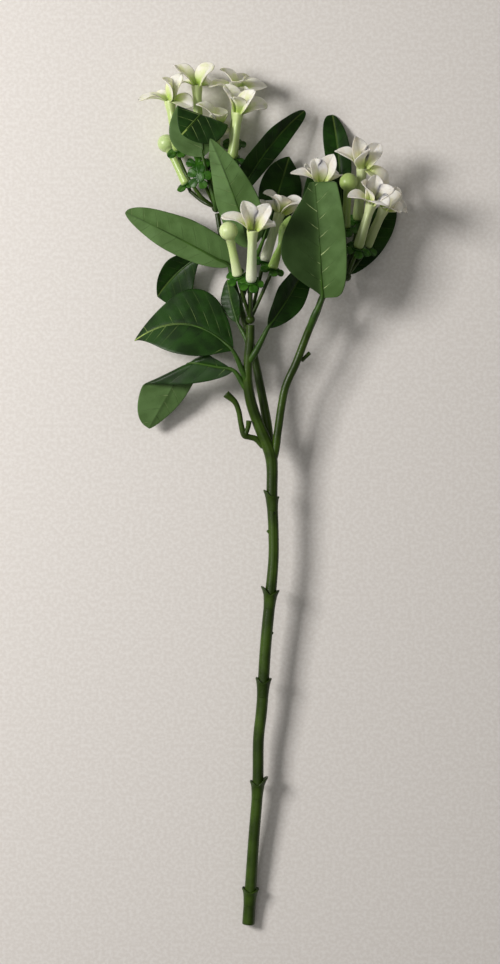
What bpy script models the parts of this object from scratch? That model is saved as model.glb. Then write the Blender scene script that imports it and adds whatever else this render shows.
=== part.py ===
"""An artificial stephanotis spray, laid down on a flat surface.

A moulded green stem forks into three branches. Each branch ends in a cluster of waxy flowers,
and oval fabric leaves are pushed onto it by the sleeves of their stalks.

Lengths are in millimetres and angles in degrees. They become metres when a mesh is made. The
surface is the plane z = 0, the stem runs along Y, and the flowers are at the +Y end.
"""

import math
from typing import NamedTuple

import bmesh
import bpy
import numpy as np
from mathutils import Matrix, Vector

MM = 0.001
GAP = 0.3  # from one piece to the piece that it is pushed onto
SHEET = 0.75  # thickness of a leaf or a petal
UP = (0.0, 0.0, 1.0)
FOOTPRINT_CENTRE = (3.35, -4.46)  # moved to x = y = 0 once the spray is built

# Routes of the stems: x, y, z and radius. The trunk runs on into the left branch.
TRUNK = (
    (-8.4, -277.0, 3.4, 3.95),
    (-7.2, -257.0, 5.5, 3.75),
    (-5.1, -224.0, 8.5, 3.55),
    (-2.5, -189.0, 11.3, 3.5),
    (-2.0, -158.5, 13.3, 3.5),
    (0.2, -137.0, 14.6, 3.6),
    (2.4, -100.5, 16.5, 3.6),
    (5.2, -70.0, 18.0, 3.6),
    (7.4, -44.5, 19.0, 3.3),
    (7.4, -25.5, 19.6, 3.3),
    (6.5, -4.5, 20.3, 3.5),
    (6.6, 12.5, 21.0, 3.6),
    (5.6, 22.0, 21.5, 3.9),
    (2.0, 31.5, 22.5, 3.7),
    (-3.0, 43.5, 24.0, 3.5),
    (-7.0, 56.0, 27.0, 3.4),
    (-8.9, 68.5, 30.0, 3.0),
    (-8.6, 81.0, 32.0, 2.8),
    (-7.4, 93.0, 34.0, 2.8),
    (-7.0, 102.5, 35.5, 2.6),
)
RIGHT_BRANCH = (
    (7.0, 17.0, 21.0, 2.4),
    (8.8, 26.0, 22.0, 2.6),
    (10.2, 37.0, 23.0, 2.55),
    (14.4, 62.5, 25.0, 2.5),
    (21.8, 80.0, 27.0, 2.5),
    (28.9, 98.5, 27.5, 2.4),
    (34.4, 111.0, 24.0, 2.2),
    (39.0, 122.5, 21.5, 2.1),
    (45.5, 129.0, 21.0, 2.1),
    (50.5, 132.0, 21.5, 2.0),
)
MIDDLE_BRANCH = (
    (5.8, 17.0, 19.0, 2.6),
    (4.0, 37.5, 16.0, 3.0),
    (1.3, 54.0, 16.0, 2.8),
    (-2.9, 75.5, 17.0, 2.5),
    (-5.5, 88.0, 18.0, 2.2),
    (-9.9, 103.5, 19.0, 2.0),
    (-15.6, 122.5, 19.5, 1.8),
    (-20.6, 143.5, 20.0, 1.7),
    (-25.6, 160.5, 20.0, 1.6),
    (-28.0, 174.0, 20.0, 1.6),
)
STUB = (
    (1.0, 27.0, 22.0, 1.9),
    (-3.6, 31.8, 23.0, 1.9),
    (-8.0, 33.1, 24.0, 1.8),
    (-11.1, 34.4, 25.0, 1.9),
    (-13.0, 41.2, 26.0, 1.7),
    (-14.3, 48.7, 27.0, 1.7),
    (-16.8, 54.9, 28.0, 1.8),
    (-22.4, 59.9, 29.0, 2.5),
)
STUB_BUD = ((-10.4, 34.4, 25.0, 1.7), (-8.6, 39.0, 26.4, 1.5), (-8.0, 43.0, 27.4, 1.8))
RIGHT_BUD = ((25.0, 81.0, 26.5, 1.3), (27.6, 83.4, 25.6, 1.2), (30.0, 85.8, 25.0, 1.3))
STEM_BUMPS = (
    ((7.0, -29.0, 20.0, 1.4), (3.5, -25.8, 20.4, 0.8)),
    ((3.6, -93.5, 17.0, 1.4), (7.0, -90.0, 17.2, 0.9)),
)

# Collars round the trunk: where along Y, how far the left and right lips stand up, and how far they
# lie from the trunk's axis against its radius.
COLLARS = (
    (-256.5, 2.2, 2.2, 1.5, 1.5),
    (-187.5, 2.2, 5.0, 1.5, 1.95),
    (-122.5, 3.0, 3.0, 1.45, 1.45),
    (-66.5, 4.5, 3.0, 1.95, 1.6),
    (-4.5, 4.0, -0.5, 1.6, 1.35),
)
COLLAR_FLARE = 1.27
COLLAR_DEPTH = 6.0

# Places that the flower stalks spring from, just past each branch's end.
CENTRE_HUB = (-7.1, 106.0, 36.5)
RIGHT_HUB = (53.5, 134.0, 22.0)
LEFT_HUB = (-28.6, 177.5, 20.0)
HUB_RADIUS = 2.9
UPRIGHT_STALK = ((*CENTRE_HUB, 1.7), (-7.2, 124.0, 40.2, 1.5))  # bears a leaf, not a flower
STALK_RADIUS = 1.15
DISH = 0.9  # thickness of a calyx
DISH_RADIUS = 3.7
VALLEY = (4.5, 0.0, 0.8)  # reach, rise and hang of a calyx's rim between two lobes
LOBE = (7.4, -0.6, 4.2)  # and at a lobe's two corners: the lobes that face up hang back from the flower
TUBE_RADIUS = 3.3
PETAL_ROLL = 12.0  # each petal lies over the next like a sail
THROAT_RADIUS = 2.9
THROAT_RISE = 0.9
BALL_RADIUS = 5.7
POINTED_BUD = (  # how far along, and the radius there
    (0.0, 2.2), (1.4, 3.1), (8.0, 2.6), (15.0, 1.5), (20.0, 3.0), (25.0, 4.3), (30.0, 3.4), (35.0, 0.7),
)


class Blade(NamedTuple):
    """The form of a leaf or petal: widths in mm, angles in degrees, the rest shares of its length."""

    width: float
    widest: tuple = (0.48, 0.48)  # where along the rib the left and right halves are widest
    fullness: tuple = (0.8, 0.8)  # of each half: lower is fuller towards base and tip
    start: float = 0.0  # share of the outline that the base skips
    fold: tuple = (8.0, 8.0)  # how far the left and right halves turn up from the rib
    curl: tuple = (0.0, 0.0)  # what the turn grows by towards each edge
    sway: float = 0.0  # sideways bow of the rib
    sides: tuple = (1.0, 1.0)  # width of the left and right halves, against half the width
    bends: tuple = ((0.0, 0.0, -25.0, 1.0),)  # start, skew, turn and span of each bend of the rib


PETAL = Blade(
    13.0, (0.58, 0.58), (0.65, 0.65), 0.1, (16.0, 16.0), (14.0, 14.0), bends=((0.0, 0.0, -50.0, 0.7),),
)


class Leaf(NamedTuple):
    """A leaf: the branch it is pushed onto, its stalk's route, its blade's ends, roll and form."""

    branch: str
    stalk: tuple
    base: tuple
    tip: tuple
    roll: float
    blade: Blade
    sleeve: float = 1.9


LEAVES = {
    "leaf_left_long": Leaf(
        "middle_branch", ((-12.5, 112.0, 19.3), (-16.5, 126.0, 24.0)), (-20.5, 140.3, 26.0),
        (-85.8, 174.4, 22.0), 187.8,
        Blade(23.6, (0.33, 0.48), (0.44, 0.61), fold=(3.2, 22.4), sides=(1.27, 0.88),
              bends=((0.0, 0.0, 23.0, 1.0),)),
    ),
    "leaf_left_lower": Leaf(
        "middle_branch", ((-22.5, 150.5, 20.0), (-26.0, 152.0, 19.0)), (-32.0, 151.5, 16.0),
        (-66.6, 123.5, 0.37), -13.1,
        Blade(29.4, (0.73, 0.5), (0.87, 0.82), fold=(14.8, 23.8), sway=-0.068, sides=(1.37, 0.77),
              bends=((0.0, 0.0, -15.0, 0.8),)),
    ),
    "leaf_left_broad": Leaf(
        "main_stem", ((-9.0, 67.0, 29.8), (-12.0, 74.0, 32.5)), (-17.9, 86.3, 35.0),
        (-80.0, 93.8, 20.0), 18.1,
        Blade(42.8, (0.46, 0.42), (1.13, 0.74), fold=(3.0, -3.0), sway=-0.188, sides=(0.99, 1.2),
              bends=((0.0, 0.0, -40.0, 0.97),)),
    ),
    "leaf_left_folded": Leaf(
        "main_stem", ((-7.9, 60.0, 27.8), (-12.0, 66.5, 29.0)), (-18.0, 74.8, 30.0),
        (-71.5, 38.8, 9.1), 0.4,
        Blade(36.2, (0.63, 0.54), (0.4, 0.73), fold=(-1.0, 9.0), sides=(0.97, 0.59),
              bends=((0.28, -54.8, -165.0, 0.1),)),
    ),
    "leaf_top_folded": Leaf(
        "left_flower_stalks", ((-28.6, 177.0, 21.5), (-28.9, 178.5, 28.0)), (-36.8, 207.7, 31.0),
        (-49.6, 220.3, 40.2), 180.0,
        Blade(39.4, (0.66, 0.35), (0.5, 0.64), fold=(1.6, 0.0), sides=(0.99, 1.05),
              bends=((0.52, 21.7, -165.0, 0.11),)),
        1.6,
    ),
    "leaf_centre_upright": Leaf(
        "centre_flower_stalks", ((-7.2, 122.0, 40.0), (-7.3, 136.0, 42.5)), (-7.6, 150.2, 43.0),
        (-31.8, 216.1, 50.0), 172.1,
        Blade(26.7, (0.3, 0.35), (0.7, 0.73), fold=(6.4, 14.1), sway=0.028, sides=(1.07, 0.96),
              bends=((0.0, 0.0, 25.6, 0.93),)),
    ),
    "leaf_top_right": Leaf(
        "middle_branch", ((-25.3, 160.5, 20.0), (-20.0, 174.0, 20.0)), (-13.7, 186.0, 21.2),
        (27.3, 240.8, 8.6), 35.4,
        Blade(17.2, (0.21, 0.55), (0.48, 0.44), fold=(7.6, 18.7), sway=0.08, sides=(1.25, 0.9),
              bends=((0.0, 0.0, -16.0, 0.76),)),
        1.4,
    ),
    "leaf_behind_centre": Leaf(
        "middle_branch", ((-14.0, 117.0, 19.4), (-7.0, 138.0, 14.0)), (0.2, 156.0, 12.0),
        (17.6, 212.0, 6.0), 10.0,
        Blade(28.5, (0.62, 0.59), (0.73, 0.89), fold=(10.3, 3.2), sides=(0.94, 1.04),
              bends=((0.0, 0.0, -15.0, 0.83),)),
    ),
    "leaf_top_pointed": Leaf(
        "right_branch", ((43.8, 127.4, 21.2), (47.0, 144.0, 15.0)), (50.0, 161.3, 11.0),
        (45.4, 239.7, 0.37), -10.0,
        Blade(17.7, (0.71, 0.66), (0.31, 0.55), fold=(13.7, 0.0), sway=-0.034, sides=(1.0, 0.89),
              bends=((0.0, 0.0, -11.0, 0.92),)),
        1.6,
    ),
    "leaf_right_broad": Leaf(
        "right_branch", ((29.5, 99.5, 27.3), (33.0, 109.0, 32.0)), (37.6, 119.6, 35.0),
        (32.4, 186.9, 41.0), 183.7,
        Blade(41.3, (0.38, 0.37), (0.24, 1.96), fold=(-17.6, -14.0), sides=(0.82, 1.24),
              bends=((0.0, 0.0, 27.5, 0.8), (0.8, 0.0, 87.5, 0.3))),
        2.2,
    ),
    "leaf_right_under": Leaf(
        "right_branch", ((47.5, 130.2, 21.2), (48.6, 131.2, 14.5), (51.5, 133.5, 12.0)), (55.5, 136.8, 10.5),
        (84.7, 183.9, 0.37), 0.0, Blade(21.0, (0.5, 0.5), (0.6, 0.6)), 1.6,
    ),
    "leaf_centre_right": Leaf(
        "main_stem", ((-8.7, 79.0, 31.8), (-3.5, 86.5, 35.0)), (3.8, 100.6, 36.5),
        (28.2, 142.1, 27.0), 30.0, Blade(22.0, (0.5, 0.5), (0.7, 0.7), fold=(14.0, 14.0)), 2.1,
    ),
    "leaf_centre_small": Leaf(
        "main_stem", ((-7.8, 89.0, 33.3), (-11.0, 97.0, 31.5)), (-14.9, 104.1, 29.5),
        (-21.5, 132.0, 25.0), -35.0, Blade(14.0, (0.5, 0.5), (0.75, 0.75)), 1.5,
    ),
    "leaf_right_hidden": Leaf(
        "right_branch", ((40.5, 124.2, 21.3), (38.5, 134.0, 16.0)), (37.5, 144.1, 12.5),
        (35.5, 210.2, 13.0), 0.0, Blade(22.0, (0.5, 0.5), (0.75, 0.75)), 1.6,
    ),
}


class Flower(NamedTuple):
    """A flower: its hub, its calyx, its throat or bud, the stalk's way there, and its kind."""

    hub: str
    calyx: tuple
    throat: tuple
    way: tuple = ()
    kind: str = "bloom"
    petals: tuple = ()  # each petal's tip, measured from the throat
    face: float = 0.8  # how far the open flower turns from its tube's line up to the viewer


FLOWERS = {
    "centre_1": Flower(
        "centre", (-6.7, 126.3, 56.0), (-5.8, 157.0, 64.0),
        petals=(
            (-19.0, 9.0, 2.0), (-5.8, 18.0, 7.0), (10.7, 16.0, 5.0),
            (-8.0, 9.0, -15.0), (12.0, 7.0, -14.0),
        ),
    ),
    "centre_2": Flower("centre", (-14.7, 131.0, 47.5), (-20.5, 158.3, 58.0), kind="ball"),
    "centre_3": Flower("centre", (6.2, 135.9, 44.5), (15.4, 162.6, 42.8), kind="pointed"),
    "centre_4": Flower(
        "centre", (1.4, 141.9, 31.0), (11.0, 172.0, 29.0),
        petals=(
            (-9.0, 14.0, 8.0), (1.0, 8.0, 17.0), (14.0, 8.0, 10.0),
            (15.0, 9.0, -8.0), (-13.0, 9.0, -9.0),
        ),
    ),
    "right_1": Flower(
        "right", (60.4, 169.1, 20.0), (62.6, 200.2, 29.0),
        petals=(
            (-16.8, 12.0, 2.0), (-4.7, 20.0, 4.0), (10.9, 16.4, 2.0),
            (4.0, 8.0, 17.0), (17.0, -11.0, -5.0),
        ),
    ),
    "right_2": Flower("right", (52.0, 162.5, 31.5), (54.0, 191.5, 35.0), kind="ball"),
    "right_3": Flower(
        "right", (59.5, 149.8, 34.0), (67.6, 176.4, 41.0),
        petals=(
            (-7.0, 12.5, 13.0), (3.0, 18.0, 6.0), (13.5, 9.0, 10.0),
            (-15.0, 3.0, 10.0), (9.0, -2.0, 17.0),
        ),
    ),
    "right_4": Flower(
        "right", (65.5, 152.0, 19.0), (76.5, 176.0, 21.0),
        petals=(
            (11.3, 9.0, 8.0), (16.0, 2.0, -7.0), (-2.0, 14.0, -11.0),
            (9.0, 15.0, -3.0), (10.0, -3.0, 13.0),
        ),
    ),
    "right_5": Flower(
        "right", (39.5, 165.4, 25.5), (37.0, 191.4, 31.0),
        petals=(
            (-19.3, 4.8, 3.0), (-4.1, 15.0, 5.0), (8.0, 17.2, 4.0),
            (12.0, 8.0, -12.0), (-9.0, 13.0, -8.0),
        ),
    ),
    "left_1": Flower(
        "left", (-52.5, 212.4, 21.5), (-57.8, 243.6, 22.0), ((-38.0, 184.0, 24.0), (-47.0, 197.0, 25.0)),
        petals=(
            (-19.4, 0.2, 2.0), (-13.0, 6.0, -12.0), (8.2, 16.5, 6.0),
            (-3.0, 13.5, 12.0), (14.5, -4.0, 3.0),
        ),
    ),
    "left_2": Flower(
        "left", (-39.5, 221.3, 16.0), (-40.8, 253.7, 20.0), ((-40.5, 203.0, 13.0),),
        petals=(
            (-14.8, 13.0, 2.0), (10.3, 13.1, 8.0), (-12.0, 4.0, -13.0),
            (0.0, 13.0, -13.0), (11.0, 3.0, -15.5),
        ),
    ),
    "left_3": Flower(
        "left", (-17.5, 219.5, 11.0), (-15.8, 251.0, 14.5), ((-23.0, 199.0, 12.0),),
        petals=(
            (-9.7, 14.0, 8.0), (-17.9, 3.1, 6.0), (19.2, 3.4, 0.0),
            (8.0, 13.0, -10.0), (5.0, 4.0, 18.0),
        ),
    ),
    "left_4": Flower(
        "left", (-18.6, 206.8, 26.0), (-14.9, 234.7, 31.0), ((-25.0, 192.0, 24.0),),
        petals=(
            (-7.5, 18.5, 2.0), (11.4, 12.5, 9.0), (-3.0, 7.5, 16.0),
            (18.7, 6.3, -2.0), (4.0, 18.0, -6.0),
        ),
    ),
    "left_5": Flower(
        "left", (-31.5, 203.0, 16.0), (-27.5, 229.0, 18.0),
        petals=(
            (-13.0, 13.5, 9.0), (-9.0, 4.0, -14.5), (-1.0, 15.0, -11.0),
            (0.0, -4.0, -15.0), (2.0, 5.0, 13.0),
        ),
    ),
    "left_6": Flower("left", (-47.1, 192.9, 13.0), (-60.5, 220.1, 8.5), ((-37.0, 182.0, 16.0),), "ball"),
    "left_7": Flower("left", (-40.0, 203.6, 25.0), (-41.0, 207.0, 35.0), ((-36.0, 192.0, 20.5),), "none"),
    "left_8": Flower("left", (-39.0, 194.5, 37.0), (-42.0, 195.0, 47.0), kind="none"),
}
HUBS = {
    "centre": ("centre_flower_stalks", CENTRE_HUB, "main_stem"),
    "right": ("right_flower_stalks", RIGHT_HUB, "right_branch"),
    "left": ("left_flower_stalks", LEFT_HUB, "middle_branch"),
}


def clear_scene():
    """Empties the scene of whatever it opened with."""
    for thing in list(bpy.data.objects):
        bpy.data.objects.remove(thing, do_unlink=True)


def collection(name):
    """Adds a collection to the scene."""
    made = bpy.data.collections.new(name)
    bpy.context.scene.collection.children.link(made)
    return made


def linear(value):
    """One sRGB channel, 0 to 255, as the linear value that a shader takes."""
    share = value / 255
    return share / 12.92 if share <= 0.04045 else ((share + 0.055) / 1.055) ** 2.4


def material(name, colour, roughness):
    """A plain moulded or woven finish of one colour, given as an sRGB hex string."""
    made = bpy.data.materials.new(name)
    made.use_nodes = True
    shader = made.node_tree.nodes["Principled BSDF"]
    channels = [linear(int(colour[place:place + 2], 16)) for place in (0, 2, 4)]
    shader.inputs["Base Color"].default_value = (*channels, 1.0)
    shader.inputs["Roughness"].default_value = roughness
    shader.inputs["Metallic"].default_value = 0.0
    return made


def unit(vector):
    """The vector at length one."""
    return np.asarray(vector, float) / np.linalg.norm(vector)


def smooth(route, steps):
    """Points on a smooth curve through a route, the same number of steps in each stretch."""
    nodes = np.array(route, float)
    before = np.vstack([2 * nodes[0] - nodes[1], nodes[:-1]])
    after = np.vstack([nodes[1:], 2 * nodes[-1] - nodes[-2]])
    slopes = (after - before) / 2
    out = []
    for start, end, leave, arrive in zip(nodes[:-1], nodes[1:], slopes[:-1], slopes[1:]):
        for t in np.arange(steps) / steps:
            out.append(
                start * (2 * t**3 - 3 * t**2 + 1) + leave * (t**3 - 2 * t**2 + t)
                + end * (3 * t**2 - 2 * t**3) + arrive * (t**3 - t**2)
            )
    return np.array([*out, nodes[-1]])


def jointed(route, collars):
    """Stations along a stem whose internodes each end in a flared cup, where a collar is."""
    fine = smooth(route, 10)
    run = np.concatenate([[0.0], np.cumsum(np.linalg.norm(np.diff(fine[:, :3], axis=0), axis=1))])
    joints = [float(np.interp(place, fine[:, 1], run)) for place, *_ in collars]
    plan = [(0.0, 0.9), (2.0, 1.0)]
    for joint in joints:
        plan += [(joint - COLLAR_DEPTH, 1.0), (joint - 1.5, 1.13), (joint, COLLAR_FLARE), (joint + 0.6, 0.97)]
    for distance in run[10:-1:10]:
        if all(abs(distance - joint + COLLAR_DEPTH / 2) > COLLAR_DEPTH for joint in joints):
            plan.append((distance, 1.0))
    plan.append((run[-1], 1.0))
    stations = []
    for distance, share in sorted(plan):
        stations.append([*(np.interp(distance, run, fine[:, axis]) for axis in range(3)),
                         np.interp(distance, run, fine[:, 3]) * share])
    return stations


def tube(stations, resolution=2):
    """A closed tube through stations of x, y, z and radius, as a mesh with its caps welded on."""
    curve = bpy.data.curves.new("tube", "CURVE")
    curve.dimensions = "3D"
    curve.bevel_depth = MM
    curve.bevel_resolution = resolution
    curve.use_fill_caps = True
    line = curve.splines.new("POLY")
    line.points.add(len(stations) - 1)
    for point, (x, y, z, radius) in zip(line.points, stations):
        point.co = (x * MM, y * MM, z * MM, 1.0)
        point.radius = radius
    guide = bpy.data.objects.new("tube", curve)
    bpy.context.scene.collection.objects.link(guide)
    mesh = evaluated_mesh(guide)
    bpy.data.objects.remove(guide)
    form = bmesh.new()
    form.from_mesh(mesh)
    bmesh.ops.remove_doubles(form, verts=form.verts, dist=1e-6)
    bmesh.ops.recalc_face_normals(form, faces=form.faces)
    form.to_mesh(mesh)
    form.free()
    made = bpy.data.objects.new("tube", mesh)
    bpy.context.scene.collection.objects.link(made)
    return made


def evaluated_mesh(thing):
    """A copy of an object's mesh as its modifiers leave it."""
    bpy.context.view_layer.update()
    graph = bpy.context.evaluated_depsgraph_get()
    return bpy.data.meshes.new_from_object(thing.evaluated_get(graph))


def ball(centre, radius):
    """A small round knob."""
    form = bmesh.new()
    bmesh.ops.create_icosphere(form, subdivisions=2, radius=radius * MM)
    bmesh.ops.translate(form, verts=form.verts, vec=Vector(centre) * MM)
    mesh = bpy.data.meshes.new("ball")
    form.to_mesh(mesh)
    form.free()
    made = bpy.data.objects.new("ball", mesh)
    bpy.context.scene.collection.objects.link(made)
    return made


def solid_sheet(form):
    """An open surface given the thickness of a leaf or a petal."""
    mesh = bpy.data.meshes.new("sheet")
    form.to_mesh(mesh)
    form.free()
    made = bpy.data.objects.new("sheet", mesh)
    bpy.context.scene.collection.objects.link(made)
    wall = made.modifiers.new("thickness", "SOLIDIFY")
    wall.thickness = SHEET * MM
    wall.offset = 0.0
    made.data = evaluated_mesh(made)
    made.modifiers.clear()
    return made


def bent(points, start, skew, turn, span):
    """Bends a sheet round a cylinder.

    Past a line across the sheet at start along x, turned by skew in the sheet's plane, the sheet
    follows a circle until it has turned by the given angle, upwards when that is positive, over
    the length span, and runs straight on from there.
    """
    swing = math.radians(abs(turn))
    radius = span / swing
    side = math.copysign(1.0, turn)
    ahead = np.array([math.cos(math.radians(skew)), math.sin(math.radians(skew))])
    along = np.array([-ahead[1], ahead[0]])
    flat = points[:, :2] - np.array([start, 0.0])
    reach = flat @ ahead
    height = points[:, 2] * side
    angle = np.clip(reach, 0.0, span) / radius
    rest = np.maximum(reach - span, 0.0)
    before = np.minimum(reach, 0.0)
    new_reach = before + (radius - height) * np.sin(angle) + rest * np.cos(angle)
    new_height = radius - (radius - height) * np.cos(angle) + rest * np.sin(angle)
    plane = np.outer(new_reach, ahead) + np.outer(flat @ along, along) + np.array([start, 0.0])
    return np.column_stack([plane, new_height * side])


def half_width(u, v, blade):
    """The width from the rib to the edge on v's side: a sine skewed towards its widest place."""
    skewing = math.log(0.5) / np.log(np.where(v < 0, *blade.widest))
    outline = np.sin(math.pi * np.clip(blade.start + (1 - blade.start) * u, 0.0, 1.0) ** skewing)
    side = np.where(v < 0, *blade.sides)
    fullness = np.where(v < 0, *blade.fullness)
    return blade.width / 2 * side * np.maximum(np.maximum(outline, 0.0) ** fullness, 0.045)


def blade_points(u, v, length, blade):
    """A blade in its own frame: the rib along x from the base, the upper face towards +z.

    Each half turns up from the rib and curls on as an arc, the rib bows sideways as a parabola,
    and the whole is then bent. Where the first bend is skewed, the rows lie along it.
    """
    slant = math.tan(math.radians(blade.bends[0][1]))
    if slant:
        start, _, _, span = blade.bends[0]
        u = np.interp(u, (0.0, 0.3, 0.6, 1.0), (0.0, start, start + span, 1.0))
        shift = v * half_width(u, v, blade) * slant / length * np.sin(math.pi * u)
        u = np.clip(u + shift, 0.0, 1.0)
    arc = np.abs(v) * half_width(u, v, blade)
    fold = np.radians(np.where(v < 0, *blade.fold))
    curl = np.radians(np.where(v < 0, *blade.curl)) * arc / (blade.width / 2)
    chord = arc * np.sinc(curl / (2 * math.pi))
    x = u * length
    y = -np.sign(v) * chord * np.cos(fold + curl / 2) + blade.sway * length * 4 * u * (1 - u)
    points = np.column_stack([x, y, chord * np.sin(fold + curl / 2)])
    for start, skew, turn, span in blade.bends:
        points = bent(points, start * length, skew, turn, span * length)
    return points


def place_blade(u, v, base, tip, up, roll, blade):
    """The blade's points with its rib from base to tip, its face towards up, turned by roll."""
    ends = blade_points(np.array([0.0, 1.0]), np.zeros(2), 1.0, blade._replace(width=1e-6))
    length = np.linalg.norm(np.subtract(tip, base)) / np.linalg.norm(ends[1] - ends[0])
    local = frame_of(ends[1] - ends[0], UP, 0.0)
    world = frame_of(np.subtract(tip, base), up, roll)
    points = blade_points(u, v, length, blade)
    return points @ local @ world.T + np.array(base)


def frame_of(ahead, up, roll):
    """Three unit columns: ahead, its left and its up, turned about ahead by roll."""
    first = unit(ahead)
    third = unit(np.asarray(up, float) - first * np.dot(up, first))
    second = np.cross(third, first)
    turn = math.radians(roll)
    left = second * math.cos(turn) + third * math.sin(turn)
    above = third * math.cos(turn) - second * math.sin(turn)
    return np.column_stack([first, left, above])


def blade_solid(rows, columns, base, tip, up, roll, blade):
    """A grid laid onto the blade's form and given its thickness."""
    form = bmesh.new()
    bmesh.ops.create_grid(form, x_segments=rows, y_segments=columns, size=1.0)
    grid = np.array([vertex.co[:2] for vertex in form.verts])
    along = (1 - np.cos(math.pi * (grid[:, 0] + 1) / 2)) / 2  # rows lie closer at the base and tip
    points = place_blade(along, -grid[:, 1], base, tip, up, roll, blade)
    for vertex, point in zip(form.verts, points):
        vertex.co = Vector(point) * MM
    bmesh.ops.triangulate(form, faces=form.faces)
    return solid_sheet(form)


def fuse(name, pieces, finish, home):
    """Joins pieces into one body by a Boolean union, and files it under its name."""
    body, *others = pieces
    if others:
        group = bpy.data.collections.new("joined")
        for other in others:
            group.objects.link(other)
        union = body.modifiers.new("union", "BOOLEAN")
        union.operation = "UNION"
        union.operand_type = "COLLECTION"
        union.collection = group
        union.solver = "EXACT"
        body.data = evaluated_mesh(body)
        body.modifiers.clear()
        for other in others:
            bpy.data.objects.remove(other)
        bpy.data.collections.remove(group)
    body.name = name
    body.data.name = name
    body.data.materials.clear()
    body.data.materials.append(finish)
    for holder in list(body.users_collection):
        holder.objects.unlink(body)
    home.objects.link(body)
    return body


def cope(body, cutter):
    """Shapes a piece's end to the stem that it is pushed onto."""
    cut = body.modifiers.new("seat", "BOOLEAN")
    cut.operation = "DIFFERENCE"
    cut.object = cutter
    cut.solver = "EXACT"


def make_cutter(name, piece, home):
    """Files a piece as a cutter, which isn't part of the model."""
    piece.name = name
    piece.hide_render = True
    piece.display_type = "WIRE"
    for holder in list(piece.users_collection):
        holder.objects.unlink(piece)
    home.objects.link(piece)
    return piece


def fat(route, steps, extra=GAP):
    """A route's stations with the clearance added to their radius and past the far end."""
    stations = smooth(route, steps)
    stations[:, 3] += extra
    stations[-1, :3] += unit(stations[-1, :3] - stations[-2, :3]) * extra
    return stations


def make_stems(stem_green, home, cutters):
    """The trunk with its collars, lips, bumps and bare stub, and the two branches let into it."""
    trunk = [tube(jointed(TRUNK, COLLARS), 3), tube(smooth(STUB, 2), 2), tube(STUB_BUD, 1)]
    trunk += [tube(bump, 1) for bump in STEM_BUMPS]
    fine = smooth(TRUNK, 10)
    for place, left, right, left_flare, right_flare in COLLARS:
        at = np.array([np.interp(place, fine[:, 1], fine[:, axis]) for axis in range(4)])
        for side, rise, flare in ((-1, left, left_flare), (1, right, right_flare)):
            foot = at[:3] + np.array([side * at[3] * 0.75, -3.0, 0.3])
            peak = at[:3] + np.array([side * at[3] * flare, rise, 0.6])
            trunk.append(tube([[*foot, 1.6], [*peak, 0.5]], 1))
    stem = fuse("main_stem", trunk, stem_green, home)
    (x, y, _, _), depth = TRUNK[0], 3.0
    form = bmesh.new()
    bmesh.ops.create_cube(form, size=1.0)
    bmesh.ops.scale(form, verts=form.verts, vec=Vector((14.0, 16.0, depth)) * MM)
    bmesh.ops.translate(form, verts=form.verts, vec=Vector((x, y, -depth / 2)) * MM)
    mesh = bpy.data.meshes.new("surface_cutter")
    form.to_mesh(mesh)
    form.free()
    floor = bpy.data.objects.new("surface_cutter", mesh)
    bpy.context.scene.collection.objects.link(floor)
    cope(stem, make_cutter("surface_cutter", floor, cutters))
    seat = make_cutter("trunk_seat", tube(fat(TRUNK, 3), 3), cutters)
    right = fuse("right_branch", [tube(smooth(RIGHT_BRANCH, 2), 2), tube(RIGHT_BUD, 1)], stem_green, home)
    middle = fuse("middle_branch", [tube(smooth(MIDDLE_BRANCH, 2), 2)], stem_green, home)
    cope(right, seat)
    cope(middle, seat)
    return {
        "main_stem": seat,
        "right_branch": make_cutter("right_seat", tube(fat(RIGHT_BRANCH, 2), 2), cutters),
        "middle_branch": make_cutter("middle_seat", tube(fat(MIDDLE_BRANCH, 2), 2), cutters),
    }


def axis_of(flower):
    """The direction from a flower's calyx to its throat."""
    return unit(np.subtract(flower.throat, flower.calyx))


def make_stalks(stem_green, seats, home, cutters):
    """A cluster's flower stalks, spreading from a knob on its branch's end."""
    for cluster, (name, hub, branch) in HUBS.items():
        pieces = [ball(hub, HUB_RADIUS)]
        for flower in FLOWERS.values():
            if flower.hub == cluster:
                end = np.array(flower.calyx) - axis_of(flower) * (DISH / 2 + GAP)
                lead = end - axis_of(flower) * 4.0
                route = [[*spot, STALK_RADIUS] for spot in (hub, *flower.way, lead)]
                pieces.append(tube([*smooth(route, 2 if flower.way else 1), [*end, STALK_RADIUS]], 1))
        if cluster == "centre":
            pieces.append(tube(UPRIGHT_STALK, 2))
            seats[name] = make_cutter("upright_seat", tube(fat(UPRIGHT_STALK, 1)), cutters)
        if cluster == "left":
            seats[name] = make_cutter("knob_seat", ball(hub, HUB_RADIUS + GAP), cutters)
        cope(fuse(name, pieces, stem_green, home), seats[branch])


def make_leaf(name, leaf, finish, seats, home):
    """A leaf's blade with its rib and its stalk's sleeve, let into its branch."""
    shares = np.array([0.12, 0.5])
    rib = place_blade(shares, np.zeros(2), leaf.base, leaf.tip, UP, leaf.roll, leaf.blade)
    plain = [[*spot, leaf.sleeve] for spot in leaf.stalk]
    stations = [*plain, [*leaf.base, leaf.sleeve * 0.6]]
    stations += [[*spot, radius] for spot, radius in zip(rib, (0.9, 0.5))]
    blade = blade_solid(7, 4, leaf.base, leaf.tip, UP, leaf.roll, leaf.blade)
    cope(fuse(name, [blade, tube(stations, 1)], finish, home), seats[leaf.branch])


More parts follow.
